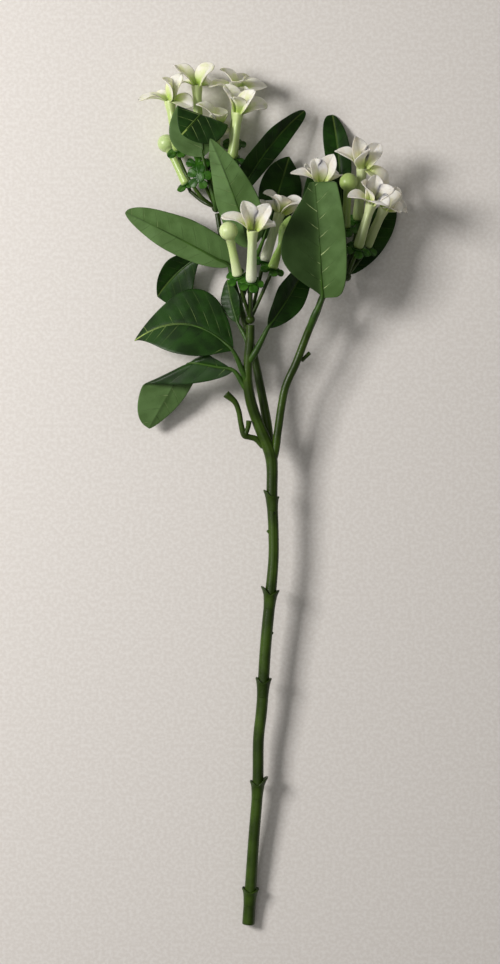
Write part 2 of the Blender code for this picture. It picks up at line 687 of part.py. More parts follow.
def make_calyx(name, flower, finish, home):
    """A five-lobed dish that the flower's foot stands in."""
    corners = 15
    form = bmesh.new()
    bmesh.ops.create_circle(form, cap_ends=True, cap_tris=True, segments=corners, radius=1.0)
    rim = [edge for edge in form.edges if edge.is_boundary]
    grown = bmesh.ops.extrude_edge_only(form, edges=rim)["geom"]
    outer = {item for item in grown if isinstance(item, bmesh.types.BMVert)}
    frame = frame_of(axis_of(flower), UP, 0.0)
    for vertex in form.verts:
        angle = math.atan2(vertex.co.y, vertex.co.x)
        reach, rise, hang = vertex.co.length * DISH_RADIUS, 0.0, 0.0
        if vertex in outer:
            valley = round(angle / math.tau * corners) % 3 == 0
            reach, rise, hang = VALLEY if valley else LOBE
        rise -= hang * math.sin(angle) * frame[2, 2]
        local = np.array([rise, reach * math.cos(angle), reach * math.sin(angle)])
        vertex.co = Vector(frame @ local + np.array(flower.calyx)) * MM
    bmesh.ops.triangulate(form, faces=form.faces)
    bmesh.ops.recalc_face_normals(form, faces=form.faces)
    fuse(name, [solid_sheet(form)], finish, home)


def petal_base(flower, petal):
    """Where a petal springs from, inside the throat's rim."""
    axis = axis_of(flower)
    outward = unit(petal - axis * (petal @ axis))
    return np.array(flower.throat) + axis * THROAT_RISE + outward * THROAT_RADIUS * 0.6


def make_bloom(name, flower, finish, home):
    """A waxy tube that opens into five petals."""
    axis = axis_of(flower)
    foot = np.array(flower.calyx) + axis * (DISH / 2 + GAP)
    throat = np.array(flower.throat)
    profile = ((0.0, 0.72), (0.05, 1.0), (0.5, 0.9), (0.85, 0.85), (1.0, 1.0), (1.06, 0.8))
    stations = [[*(foot + (throat - foot) * share), TUBE_RADIUS * radius] for share, radius in profile]
    pieces = [tube(stations, 1)]
    facing = axis + np.array(UP) * flower.face
    for petal in np.array(flower.petals):
        base = petal_base(flower, petal)
        pieces.append(blade_solid(4, 2, base, throat + petal, facing, PETAL_ROLL, PETAL))
    fuse(name, pieces, finish, home)


def make_bud(name, flower, finish, home):
    """An unopened flower: a tube under a round or a pointed head."""
    axis = axis_of(flower)
    foot = np.array(flower.calyx) + axis * (DISH / 2 + GAP)
    reach = np.linalg.norm(np.array(flower.throat) - foot)
    if flower.kind == "ball":
        angles = np.radians([-62.0, -30.0, 0.0, 30.0, 58.0, 80.0])
        head = [(reach + BALL_RADIUS * math.sin(turn), BALL_RADIUS * math.cos(turn)) for turn in angles]
        profile = [(0.0, 2.3), (1.4, 3.2), (reach * 0.5, 2.6), *head]
    else:
        profile = POINTED_BUD
    fuse(name, [tube([[*(foot + axis * place), radius] for place, radius in profile], 3)], finish, home)


def make_flowers(finishes, home):
    """Every calyx, with the bloom or bud that stands in it."""
    for place, flower in FLOWERS.items():
        make_calyx(f"calyx_{place}", flower, finishes["calyx_green"], home)
        if flower.kind == "bloom":
            make_bloom(f"bloom_{place}", flower, finishes["petal_white"], home)
        elif flower.kind != "none":
            make_bud(f"bud_{place}", flower, finishes["bud_green"], home)


def main():
    """Builds the spray."""
    clear_scene()
    home = collection("stephanotis_spray")
    cutters = collection("cutters")
    finishes = {
        "stem_green": material("stem_green", "3F6B22", 0.42),
        "leaf_green": material("leaf_green", "35592B", 0.55),
        "petal_white": material("petal_white", "E9EADF", 0.5),
        "bud_green": material("bud_green", "B9D48B", 0.4),
        "calyx_green": material("calyx_green", "3E7A1A", 0.45),
    }
    seats = make_stems(finishes["stem_green"], home, cutters)
    make_stalks(finishes["stem_green"], seats, home, cutters)
    for name, leaf in LEAVES.items():
        make_leaf(name, leaf, finishes["leaf_green"], seats, home)
    make_flowers(finishes, home)
    centred = Matrix.Translation(Vector((*FOOTPRINT_CENTRE, 0.0)) * -MM)
    for thing in bpy.data.objects:
        thing.data.transform(centred)


main()
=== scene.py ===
"""The looks of an artificial stephanotis spray that lies on a pale surface.

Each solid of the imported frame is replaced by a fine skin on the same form: leaves with ribs and
veins, waxy petals, buds, lobed calyces and a moulded stem. Lengths are in millimetres and angles
in degrees until a mesh is made. The surface is z = 0, and the stem runs along Y.
"""

import math
from typing import NamedTuple

import bpy
import numpy as np
from mathutils import Matrix


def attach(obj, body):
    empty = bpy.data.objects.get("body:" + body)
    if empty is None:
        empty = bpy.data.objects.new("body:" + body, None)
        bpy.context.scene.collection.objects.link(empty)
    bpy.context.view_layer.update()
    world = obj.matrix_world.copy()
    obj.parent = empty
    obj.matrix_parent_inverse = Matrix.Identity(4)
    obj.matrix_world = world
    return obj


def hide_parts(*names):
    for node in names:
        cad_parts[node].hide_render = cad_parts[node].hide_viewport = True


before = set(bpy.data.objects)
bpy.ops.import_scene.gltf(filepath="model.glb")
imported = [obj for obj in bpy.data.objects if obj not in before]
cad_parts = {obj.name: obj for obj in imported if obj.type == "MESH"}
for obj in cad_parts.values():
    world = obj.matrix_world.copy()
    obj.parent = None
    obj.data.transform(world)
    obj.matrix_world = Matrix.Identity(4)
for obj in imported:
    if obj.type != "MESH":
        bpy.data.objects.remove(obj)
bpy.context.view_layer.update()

MM = 0.001
UP = (0.0, 0.0, 1.0)
FOOTPRINT_CENTRE = (3.35, -4.46)
PHOTO_SIZE = (500, 964)
PHOTO_SCALE = 0.64  # millimetres to a pixel at the surface
CAMERA_PLACE = (-7.36, 4.8, 1300.0)
SENSOR = 36.0

# Routes of the stems: x, y, z and radius. The trunk runs on into the left branch.
TRUNK = (
    (-8.4, -277.0, 3.4, 3.95),
    (-7.2, -257.0, 5.5, 3.75),
    (-5.1, -224.0, 8.5, 3.55),
    (-2.5, -189.0, 11.3, 3.5),
    (-2.0, -158.5, 13.3, 3.5),
    (0.2, -137.0, 14.6, 3.6),
    (2.4, -100.5, 16.5, 3.6),
    (5.2, -70.0, 18.0, 3.6),
    (7.4, -44.5, 19.0, 3.3),
    (7.4, -25.5, 19.6, 3.3),
    (6.5, -4.5, 20.3, 3.5),
    (6.6, 12.5, 21.0, 3.6),
    (5.6, 22.0, 21.5, 3.9),
    (2.0, 31.5, 22.5, 3.7),
    (-3.0, 43.5, 24.0, 3.5),
    (-7.0, 56.0, 27.0, 3.4),
    (-8.9, 68.5, 30.0, 3.0),
    (-8.6, 81.0, 32.0, 2.8),
    (-7.4, 93.0, 34.0, 2.8),
    (-7.0, 102.5, 35.5, 2.6),
)
RIGHT_BRANCH = (
    (7.0, 17.0, 21.0, 2.4),
    (8.8, 26.0, 22.0, 2.6),
    (10.2, 37.0, 23.0, 2.55),
    (14.4, 62.5, 25.0, 2.5),
    (21.8, 80.0, 27.0, 2.5),
    (28.9, 98.5, 27.5, 2.4),
    (34.4, 111.0, 24.0, 2.2),
    (39.0, 122.5, 21.5, 2.1),
    (45.5, 129.0, 21.0, 2.1),
    (50.5, 132.0, 21.5, 2.0),
)
MIDDLE_BRANCH = (
    (5.8, 17.0, 19.0, 2.6),
    (4.0, 37.5, 16.0, 3.0),
    (1.3, 54.0, 16.0, 2.8),
    (-2.9, 75.5, 17.0, 2.5),
    (-5.5, 88.0, 18.0, 2.2),
    (-9.9, 103.5, 19.0, 2.0),
    (-15.6, 122.5, 19.5, 1.8),
    (-20.6, 143.5, 20.0, 1.7),
    (-25.6, 160.5, 20.0, 1.6),
    (-28.0, 174.0, 20.0, 1.6),
)
STUB = (
    (1.0, 27.0, 22.0, 1.9),
    (-3.6, 31.8, 23.0, 1.9),
    (-8.0, 33.1, 24.0, 1.8),
    (-11.1, 34.4, 25.0, 1.9),
    (-13.0, 41.2, 26.0, 1.7),
    (-14.3, 48.7, 27.0, 1.7),
    (-16.8, 54.9, 28.0, 1.8),
    (-22.4, 59.9, 29.0, 2.5),
)
STUB_BUD = ((-10.4, 34.4, 25.0, 1.7), (-8.6, 39.0, 26.4, 1.5), (-8.0, 43.0, 27.4, 1.8))
RIGHT_BUD = ((25.0, 81.0, 26.5, 1.3), (27.6, 83.4, 25.6, 1.2), (30.0, 85.8, 25.0, 1.3))
STEM_BUMPS = (
    ((7.0, -29.0, 20.0, 1.4), (3.5, -25.8, 20.4, 0.8)),
    ((3.6, -93.5, 17.0, 1.4), (7.0, -90.0, 17.2, 0.9)),
)

# Collars round the trunk: where along Y, how far the left and right lips stand up, and how far they
# lie from the trunk's axis against its radius.
COLLARS = (
    (-256.5, 2.2, 2.2, 1.5, 1.5),
    (-187.5, 2.2, 5.0, 1.5, 1.95),
    (-122.5, 3.0, 3.0, 1.45, 1.45),
    (-66.5, 4.5, 3.0, 1.95, 1.6),
    (-4.5, 4.0, -0.5, 1.6, 1.35),
)

COLLAR_RIM = 1.36

CENTRE_HUB = (-7.1, 106.0, 36.5)
RIGHT_HUB = (53.5, 134.0, 22.0)
LEFT_HUB = (-28.6, 177.5, 20.0)
HUB_RADIUS = 2.9
UPRIGHT_STALK = ((*CENTRE_HUB, 1.7), (-7.2, 124.0, 40.2, 1.5))
STALK_RADIUS = 1.15
PEG = 0.75  # from a calyx's middle to the end of its stalk
DISH_RADIUS = 3.7
LOBE_REACH = 7.8
LOBE_RISE = -0.6
LOBE_HANG = 4.2  # how far back from the flower the lobes hang that face up
LOBE_TURN = 1.2  # and how far each lobe's face turns up from the tube's line
LOBES = 5
TUBE_RADIUS = 3.3
PETALS = 5
PETAL_ROLL = 12.0  # each petal lies over the next like a sail
THROAT_RADIUS = 2.9
THROAT_RISE = 0.9
BALL_RADIUS = 5.7

LEAF_SKIN = 0.5  # thickness of the stiffened fabric
PETAL_SKIN = 0.55
VEINS = 8.0  # side veins on each half of a leaf


class Blade(NamedTuple):
    """The form of a leaf or petal: widths in mm, angles in degrees, the rest shares of its length."""

    width: float
    widest: tuple = (0.48, 0.48)  # where along the rib the left and right halves are widest
    fullness: tuple = (0.8, 0.8)  # of each half: lower is fuller towards base and tip
    start: float = 0.0  # share of the outline that the base skips
    fold: tuple = (8.0, 8.0)  # how far the left and right halves turn up from the rib
    curl: tuple = (0.0, 0.0)  # what the turn grows by towards each edge
    sway: float = 0.0  # sideways bow of the rib
    sides: tuple = (1.0, 1.0)  # width of the left and right halves, against half the width
    bends: tuple = ((0.0, 0.0, -25.0, 1.0),)  # start, skew, turn and span of each bend of the rib


class Leaf(NamedTuple):
    """A leaf: its stalk's route, its blade's ends, roll and form, and its sleeve's radius."""

    stalk: tuple
    base: tuple
    tip: tuple
    roll: float
    blade: Blade
    sleeve: float = 1.9


# The fabric that each leaf wears; the streaked one also has painted shade on one half of its back.
LEAF_PRINTS = {
    "leaf_left_broad": "veined",
    "leaf_left_folded": "veined",
    "leaf_top_folded": "veined",
    "leaf_right_broad": "streaked_painted_shade",
}


class Flower(NamedTuple):
    """A flower: its hub, its calyx, its throat or bud, the stalk's way there, and its kind."""

    hub: str
    calyx: tuple
    throat: tuple
    way: tuple = ()
    kind: str = "bloom"
    petals: tuple = ()  # each petal's tip, measured from the throat
    face: float = 0.8  # how far the open flower turns from its tube's line up to the viewer


PETAL = Blade(
    13.0, (0.58, 0.58), (0.65, 0.65), 0.1, (16.0, 16.0), (14.0, 14.0), bends=((0.0, 0.0, -50.0, 0.7),),
)
LOBE = Blade(6.0, (0.68, 0.68), (0.45, 0.45), 0.1, (4.0, 4.0), bends=((0.0, 0.0, -20.0, 1.0),))

LEAVES = {
    "leaf_left_long": Leaf(
        ((-12.5, 112.0, 19.3), (-16.5, 126.0, 24.0)), (-20.5, 140.3, 26.0),
        (-85.8, 174.4, 22.0), 187.8,
        Blade(23.6, (0.33, 0.48), (0.44, 0.61), fold=(3.2, 22.4), sides=(1.27, 0.88),
              bends=((0.0, 0.0, 23.0, 1.0),)),
    ),
    "leaf_left_lower": Leaf(
        ((-22.5, 150.5, 20.0), (-26.0, 152.0, 19.0)), (-32.0, 151.5, 16.0),
        (-66.6, 123.5, 0.37), -13.1,
        Blade(29.4, (0.73, 0.5), (0.87, 0.82), fold=(14.8, 23.8), sway=-0.068, sides=(1.37, 0.77),
              bends=((0.0, 0.0, -15.0, 0.8),)),
    ),
    "leaf_left_broad": Leaf(
        ((-9.0, 67.0, 29.8), (-12.0, 74.0, 32.5)), (-17.9, 86.3, 35.0),
        (-80.0, 93.8, 20.0), 18.1,
        Blade(42.8, (0.46, 0.42), (1.13, 0.74), fold=(3.0, -3.0), sway=-0.188, sides=(0.99, 1.2),
              bends=((0.0, 0.0, -40.0, 0.97),)),
    ),
    "leaf_left_folded": Leaf(
        ((-7.9, 60.0, 27.8), (-12.0, 66.5, 29.0)), (-18.0, 74.8, 30.0),
        (-71.5, 38.8, 9.1), 0.4,
        Blade(36.2, (0.63, 0.54), (0.4, 0.73), fold=(-1.0, 9.0), sides=(0.97, 0.59),
              bends=((0.28, -54.8, -165.0, 0.1),)),
    ),
    "leaf_top_folded": Leaf(
        ((-28.6, 177.0, 21.5), (-28.9, 178.5, 28.0)), (-36.8, 207.7, 31.0),
        (-49.6, 220.3, 40.2), 180.0,
        Blade(39.4, (0.66, 0.35), (0.5, 0.64), fold=(1.6, 0.0), sides=(0.99, 1.05),
              bends=((0.52, 21.7, -165.0, 0.11),)),
        1.6,
    ),
    "leaf_centre_upright": Leaf(
        ((-7.2, 122.0, 40.0), (-7.3, 136.0, 42.5)), (-7.6, 150.2, 43.0),
        (-31.8, 216.1, 50.0), 172.1,
        Blade(26.7, (0.3, 0.35), (0.7, 0.73), fold=(6.4, 14.1), sway=0.028, sides=(1.07, 0.96),
              bends=((0.0, 0.0, 25.6, 0.93),)),
    ),
    "leaf_top_right": Leaf(
        ((-25.3, 160.5, 20.0), (-20.0, 174.0, 20.0)), (-13.7, 186.0, 21.2),
        (27.3, 240.8, 8.6), 35.4,
        Blade(17.2, (0.21, 0.55), (0.48, 0.44), fold=(7.6, 18.7), sway=0.08, sides=(1.25, 0.9),
              bends=((0.0, 0.0, -16.0, 0.76),)),
        1.4,
    ),
    "leaf_behind_centre": Leaf(
        ((-14.0, 117.0, 19.4), (-7.0, 138.0, 14.0)), (0.2, 156.0, 12.0),
        (17.6, 212.0, 6.0), 10.0,
        Blade(28.5, (0.62, 0.59), (0.73, 0.89), fold=(10.3, 3.2), sides=(0.94, 1.04),
              bends=((0.0, 0.0, -15.0, 0.83),)),
    ),
    "leaf_top_pointed": Leaf(
        ((43.8, 127.4, 21.2), (47.0, 144.0, 15.0)), (50.0, 161.3, 11.0),
        (45.4, 239.7, 0.37), -10.0,
        Blade(17.7, (0.71, 0.66), (0.31, 0.55), fold=(13.7, 0.0), sway=-0.034, sides=(1.0, 0.89),
              bends=((0.0, 0.0, -11.0, 0.92),)),
        1.6,
    ),
    "leaf_right_broad": Leaf(
        ((29.5, 99.5, 27.3), (33.0, 109.0, 32.0)), (37.6, 119.6, 35.0),
        (32.4, 186.9, 41.0), 183.7,
        Blade(41.3, (0.38, 0.37), (0.24, 1.96), fold=(-17.6, -14.0), sides=(0.82, 1.24),
              bends=((0.0, 0.0, 27.5, 0.8), (0.8, 0.0, 87.5, 0.3))),
        2.2,
    ),
    "leaf_right_under": Leaf(
        ((47.5, 130.2, 21.2), (48.6, 131.2, 14.5), (51.5, 133.5, 12.0)), (55.5, 136.8, 10.5),
        (84.7, 183.9, 0.37), 0.0, Blade(21.0, (0.5, 0.5), (0.6, 0.6)), 1.6,
    ),
    "leaf_centre_right": Leaf(
        ((-8.7, 79.0, 31.8), (-3.5, 86.5, 35.0)), (3.8, 100.6, 36.5),
        (28.2, 142.1, 27.0), 30.0, Blade(22.0, (0.5, 0.5), (0.7, 0.7), fold=(14.0, 14.0)), 2.1,
    ),
    "leaf_centre_small": Leaf(
        ((-7.8, 89.0, 33.3), (-11.0, 97.0, 31.5)), (-14.9, 104.1, 29.5),
        (-21.5, 132.0, 25.0), -35.0, Blade(14.0, (0.5, 0.5), (0.75, 0.75)), 1.5,
    ),
    "leaf_right_hidden": Leaf(
        ((40.5, 124.2, 21.3), (38.5, 134.0, 16.0)), (37.5, 144.1, 12.5),
        (35.5, 210.2, 13.0), 0.0, Blade(22.0, (0.5, 0.5), (0.75, 0.75)), 1.6,
    ),
}

FLOWERS = {
    "centre_1": Flower(
        "centre", (-6.7, 126.3, 56.0), (-5.8, 157.0, 64.0),
        petals=(
            (-19.0, 9.0, 2.0), (-5.8, 18.0, 7.0), (10.7, 16.0, 5.0),
            (-8.0, 9.0, -15.0), (12.0, 7.0, -14.0),
        ),
    ),
    "centre_2": Flower("centre", (-14.7, 131.0, 47.5), (-20.5, 158.3, 58.0), kind="ball"),
    "centre_3": Flower("centre", (6.2, 135.9, 44.5), (15.4, 162.6, 42.8), kind="pointed"),
    "centre_4": Flower(
        "centre", (1.4, 141.9, 31.0), (11.0, 172.0, 29.0),
        petals=(
            (-9.0, 14.0, 8.0), (1.0, 8.0, 17.0), (14.0, 8.0, 10.0),
            (15.0, 9.0, -8.0), (-13.0, 9.0, -9.0),
        ),
    ),
    "right_1": Flower(
        "right", (60.4, 169.1, 20.0), (62.6, 200.2, 29.0),
        petals=(
            (-16.8, 12.0, 2.0), (-4.7, 20.0, 4.0), (10.9, 16.4, 2.0),
            (4.0, 8.0, 17.0), (17.0, -11.0, -5.0),
        ),
    ),
    "right_2": Flower("right", (52.0, 162.5, 31.5), (54.0, 191.5, 35.0), kind="ball"),
    "right_3": Flower(
        "right", (59.5, 149.8, 34.0), (67.6, 176.4, 41.0),
        petals=(
            (-7.0, 12.5, 13.0), (3.0, 18.0, 6.0), (13.5, 9.0, 10.0),
            (-15.0, 3.0, 10.0), (9.0, -2.0, 17.0),
        ),
    ),
    "right_4": Flower(
        "right", (65.5, 152.0, 19.0), (76.5, 176.0, 21.0),
        petals=(
            (11.3, 9.0, 8.0), (16.0, 2.0, -7.0), (-2.0, 14.0, -11.0),
            (9.0, 15.0, -3.0), (10.0, -3.0, 13.0),
        ),
    ),
    "right_5": Flower(
        "right", (39.5, 165.4, 25.5), (37.0, 191.4, 31.0),
        petals=(
            (-19.3, 4.8, 3.0), (-4.1, 15.0, 5.0), (8.0, 17.2, 4.0),
            (12.0, 8.0, -12.0), (-9.0, 13.0, -8.0),
        ),
    ),
    "left_1": Flower(
        "left", (-52.5, 212.4, 21.5), (-57.8, 243.6, 22.0), ((-38.0, 184.0, 24.0), (-47.0, 197.0, 25.0)),
        petals=(
            (-19.4, 0.2, 2.0), (-13.0, 6.0, -12.0), (8.2, 16.5, 6.0),
            (-3.0, 13.5, 12.0), (14.5, -4.0, 3.0),
        ),
    ),
    "left_2": Flower(
        "left", (-39.5, 221.3, 16.0), (-40.8, 253.7, 20.0), ((-40.5, 203.0, 13.0),),
        petals=(
            (-14.8, 13.0, 2.0), (10.3, 13.1, 8.0), (-12.0, 4.0, -13.0),
            (0.0, 13.0, -13.0), (11.0, 3.0, -15.5),
        ),
    ),
    "left_3": Flower(
        "left", (-17.5, 219.5, 11.0), (-15.8, 251.0, 14.5), ((-23.0, 199.0, 12.0),),
        petals=(
            (-9.7, 14.0, 8.0), (-17.9, 3.1, 6.0), (19.2, 3.4, 0.0),
            (8.0, 13.0, -10.0), (5.0, 4.0, 18.0),
        ),
    ),
    "left_4": Flower(
        "left", (-18.6, 206.8, 26.0), (-14.9, 234.7, 31.0), ((-25.0, 192.0, 24.0),),
        petals=(
            (-7.5, 18.5, 2.0), (11.4, 12.5, 9.0), (-3.0, 7.5, 16.0),
            (18.7, 6.3, -2.0), (4.0, 18.0, -6.0),
        ),
    ),
    "left_5": Flower(
        "left", (-31.5, 203.0, 16.0), (-27.5, 229.0, 18.0),
        petals=(
            (-13.0, 13.5, 9.0), (-9.0, 4.0, -14.5), (-1.0, 15.0, -11.0),
            (0.0, -4.0, -15.0), (2.0, 5.0, 13.0),
        ),
    ),
    "left_6": Flower("left", (-47.1, 192.9, 13.0), (-60.5, 220.1, 8.5), ((-37.0, 182.0, 16.0),), "ball"),
    "left_7": Flower("left", (-40.0, 203.6, 25.0), (-41.0, 207.0, 35.0), ((-36.0, 192.0, 20.5),), "none"),
    "left_8": Flower("left", (-39.0, 194.5, 37.0), (-42.0, 195.0, 47.0), kind="none"),
}
HUBS = {"centre": CENTRE_HUB, "right": RIGHT_HUB, "left": LEFT_HUB}


# Forms


def unit(vectors):
    """The vectors at length one."""
    vectors = np.asarray(vectors, float)
    return vectors / np.maximum(np.linalg.norm(vectors, axis=-1, keepdims=True), 1e-12)


def frame_of(ahead, up, roll):
    """Three unit columns: ahead, its left and its up, turned about ahead by roll."""
    first = unit(ahead)
    third = unit(np.asarray(up, float) - first * np.dot(up, first))
    second = np.cross(third, first)
    turn = math.radians(roll)
    left = second * math.cos(turn) + third * math.sin(turn)
    above = third * math.cos(turn) - second * math.sin(turn)
    return np.column_stack([first, left, above])


def smooth(route, steps):
    """Points on a route's Hermite curve: each slope is half the step from the point before to the next."""
    nodes = np.array(route, float)
    before = np.vstack([2 * nodes[0] - nodes[1], nodes[:-1]])
    after = np.vstack([nodes[1:], 2 * nodes[-1] - nodes[-2]])
    slopes = (after - before) / 2
    t = (np.arange(steps) / steps)[None, :, None]
    start, end = nodes[:-1, None], nodes[1:, None]
    leave, arrive = slopes[:-1, None], slopes[1:, None]
    curve = (
        start * (2 * t**3 - 3 * t**2 + 1) + leave * (t**3 - 2 * t**2 + t)
        + end * (3 * t**2 - 2 * t**3) + arrive * (t**3 - t**2)
    )
    return np.vstack([curve.reshape(-1, nodes.shape[1]), nodes[-1]])


def bent(points, start, skew, turn, span):
    """Bends a sheet round a cylinder whose line crosses it at start along x, turned by skew.

    Past the line the sheet follows a circle, upwards for a positive turn, until it has turned by
    that angle over the length span. It runs straight on from there.
    """
    swing = math.radians(abs(turn))
    radius = span / swing
    side = math.copysign(1.0, turn)
    ahead = np.array([math.cos(math.radians(skew)), math.sin(math.radians(skew))])
    along = np.array([-ahead[1], ahead[0]])
    flat = points[..., :2] - np.array([start, 0.0])
    reach = flat @ ahead
    height = points[..., 2] * side
    angle = np.clip(reach, 0.0, span) / radius
    rest = np.maximum(reach - span, 0.0)
    before = np.minimum(reach, 0.0)
    new_reach = before + (radius - height) * np.sin(angle) + rest * np.cos(angle)
    new_height = radius - (radius - height) * np.cos(angle) + rest * np.sin(angle)
    plane = new_reach[..., None] * ahead + (flat @ along)[..., None] * along + np.array([start, 0.0])
    return np.concatenate([plane, (new_height * side)[..., None]], axis=-1)


def half_width(u, v, blade):
    """From the rib to the edge on v's side: a sine, skewed towards its widest place, to a power."""
    skewing = math.log(0.5) / np.log(np.where(v < 0, *blade.widest))
    outline = np.sin(math.pi * np.clip(blade.start + (1 - blade.start) * u, 0.0, 1.0) ** skewing)
    fullness = np.where(v < 0, *blade.fullness)
    side = np.where(v < 0, *blade.sides)
    return blade.width / 2 * side * np.maximum(np.maximum(outline, 0.0) ** fullness, 0.012)


def blade_shares(u, v, length, blade):
    """The share along the rib that each point takes: rows lie along the first bend if it is skewed."""
    slant = math.tan(math.radians(blade.bends[0][1]))
    if slant:
        start, _, _, span = blade.bends[0]
        u = np.interp(u, (0.0, 0.3, 0.6, 1.0), (0.0, start, start + span, 1.0))
        shift = v * half_width(u, v, blade) * slant / length * np.sin(math.pi * u)
        u = np.clip(u + shift, 0.0, 1.0)
    return u


def blade_points(u, v, length, blade):
    """A blade in its own frame: the rib along x, the upper face towards +z.

    Each half turns up from the rib and curls on as an arc, the rib bows sideways as a parabola,
    and the whole is then bent.
    """
    arc = np.abs(v) * half_width(u, v, blade)
    fold = np.radians(np.where(v < 0, *blade.fold))
    curl = np.radians(np.where(v < 0, *blade.curl)) * arc / (blade.width / 2)
    chord = arc * np.sinc(curl / (2 * math.pi))
    x = u * length
    y = -np.sign(v) * chord * np.cos(fold + curl / 2) + blade.sway * length * 4 * u * (1 - u)
    points = np.stack([x, y, chord * np.sin(fold + curl / 2)], axis=-1)
    for start, skew, turn, span in blade.bends:
        points = bent(points, start * length, skew, turn, span * length)
    return points


def blade_fit(base, tip, up, roll, blade):
    """The blade's length, and the turn that puts its rib from base to tip."""
    ends = blade_points(np.array([0.0, 1.0]), np.zeros(2), 1.0, blade._replace(width=1e-6))
    length = np.linalg.norm(np.subtract(tip, base)) / np.linalg.norm(ends[1] - ends[0])
    local = frame_of(ends[1] - ends[0], UP, 0.0)
    world = frame_of(np.subtract(tip, base), up, roll)
    return length, local @ world.T


def sheet(rows, columns, thickness, fit, blade, base, relief):
    """A blade's closed skin, as rings round its flattened section.

    A ring runs from one edge to the other on the upper face and back on the lower one. Its points
    stand off the middle surface by half the thickness along the normal, less near the edges, and
    by relief(u, v, mm from the rib, mm along), which moves both faces alike.
    """
    length, turn = fit
    along = np.linspace(0.0, 1.0, rows)
    along = 0.5 * along + 0.5 * (1 - np.cos(math.pi * along)) / 2
    share = np.arange(2 * columns) / columns
    across = np.where(share < 1, share, 2 - share)
    v = 0.5 * (2 * across - 1) - 0.5 * np.cos(math.pi * across)
    face = np.where(share < 1, 1.0, -1.0) * np.clip((1 - np.abs(v)) * 14, 0.0, 1.0) ** 0.5
    u, v = np.meshgrid(along, v, indexing="ij")
    u = blade_shares(u, v, length, blade)
    step = 1e-3
    middle = blade_points(u, v, length, blade)
    rise = blade_points(np.clip(u, 0.02, 0.98) + step, v * 0.98, length, blade)
    rise -= blade_points(np.clip(u, 0.02, 0.98) - step, v * 0.98, length, blade)
    inner = np.clip(v, -0.97, 0.97)
    side = blade_points(np.clip(u, 0.02, 0.98), inner - step, length, blade)
    side -= blade_points(np.clip(u, 0.02, 0.98), inner + step, length, blade)
    normal = unit(np.cross(rise, side))
    off = v * half_width(u, v, blade)
    lift = relief(u, v, off, u * length)
    points = middle + normal * (lift + face[None, :] * thickness / 2)[..., None]
    marks = np.stack([off, u, np.broadcast_to(np.sign(face) * np.abs(face) ** 0.3, u.shape)], axis=-1)
    return points @ turn + np.array(base), marks


def carried(path, up=None):
    """Unit vectors beside a path: one held towards up, or the way the path turns least, and its mate."""
    ahead = unit(np.gradient(path[:, :3], axis=0))
    if up is None:
        up = np.linalg.svd(ahead, full_matrices=False)[2][-1]
    above = unit(up - ahead * (ahead @ up)[:, None])
    return above, np.cross(ahead, above)


def rings(path, around, up=None, relief=None):
    """Circles of the path's radius, square to it; relief(run, angle) is added to the radius."""
    above, beside = carried(path, up)
    run = np.concatenate([[0.0], np.cumsum(np.linalg.norm(np.diff(path[:, :3], axis=0), axis=1))])
    angle = np.arange(around) / around * math.tau
    radius = np.broadcast_to(path[:, 3:4], (len(path), around))
    if relief:
        radius = radius + relief(run[:, None], angle[None, :])
    spoke = above[:, None] * np.cos(angle)[None, :, None] + beside[:, None] * np.sin(angle)[None, :, None]
    points = path[:, None, :3] + spoke * radius[..., None]
    marks = np.stack(np.broadcast_arrays(angle[None, :], (run / run[-1])[:, None], 1.0), axis=-1)
    return points, marks


def rounded(path, swell=0.35):
    """Closes in a path's first and last stations over a short way, as a moulded end is."""
    first, last = path[0].copy(), path[-1].copy()
    first[:3] -= unit(path[1, :3] - path[0, :3]) * first[3] * swell * 0.5
    last[:3] += unit(path[-1, :3] - path[-2, :3]) * last[3] * swell * 0.5
    first[3] *= 0.7
    last[3] *= 0.7
    return np.vstack([first, path, last])


# Meshes


def shell(points, marks, finish=0, loop=False):
    """Corners, marks and faces of a closed skin over a grid whose columns wrap round.

    Its end rows close onto a pole each, at the middle of the row, or with loop onto each other.
    Faces point outwards: their order is turned round where the volume they hold is below zero.
    """
    rows, columns = points.shape[:2]
    corners, notes = points.reshape(-1, 3), marks.reshape(-1, 3)
    index = np.arange(rows * columns).reshape(rows, columns)
    low, high = (index, np.roll(index, -1, axis=0)) if loop else (index[:-1], index[1:])
    quads = np.stack([low, high, np.roll(high, -1, axis=1), np.roll(low, -1, axis=1)], axis=-1).reshape(-1, 4)
    faces = [quads]
    if not loop:
        corners = np.vstack([corners, points[0].mean(axis=0), points[-1].mean(axis=0)])
        notes = np.vstack([notes, marks[0].mean(axis=0), marks[-1].mean(axis=0)])
        first, last = len(corners) - 2, len(corners) - 1
        start, end = index[0], index[-1]
        faces.append(np.stack([np.full(columns, first), start, np.roll(start, -1)], axis=-1))
        faces.append(np.stack([np.full(columns, last), np.roll(end, -1), end], axis=-1))
    halves = np.vstack([quads[:, [0, 1, 2]], quads[:, [0, 2, 3]], *faces[1:]])
    a, b, c = (corners[halves[:, place]] for place in range(3))
    if np.sum(a * np.cross(b, c)) < 0:
        faces = [group[:, ::-1] for group in faces]
    return corners, notes, faces, finish


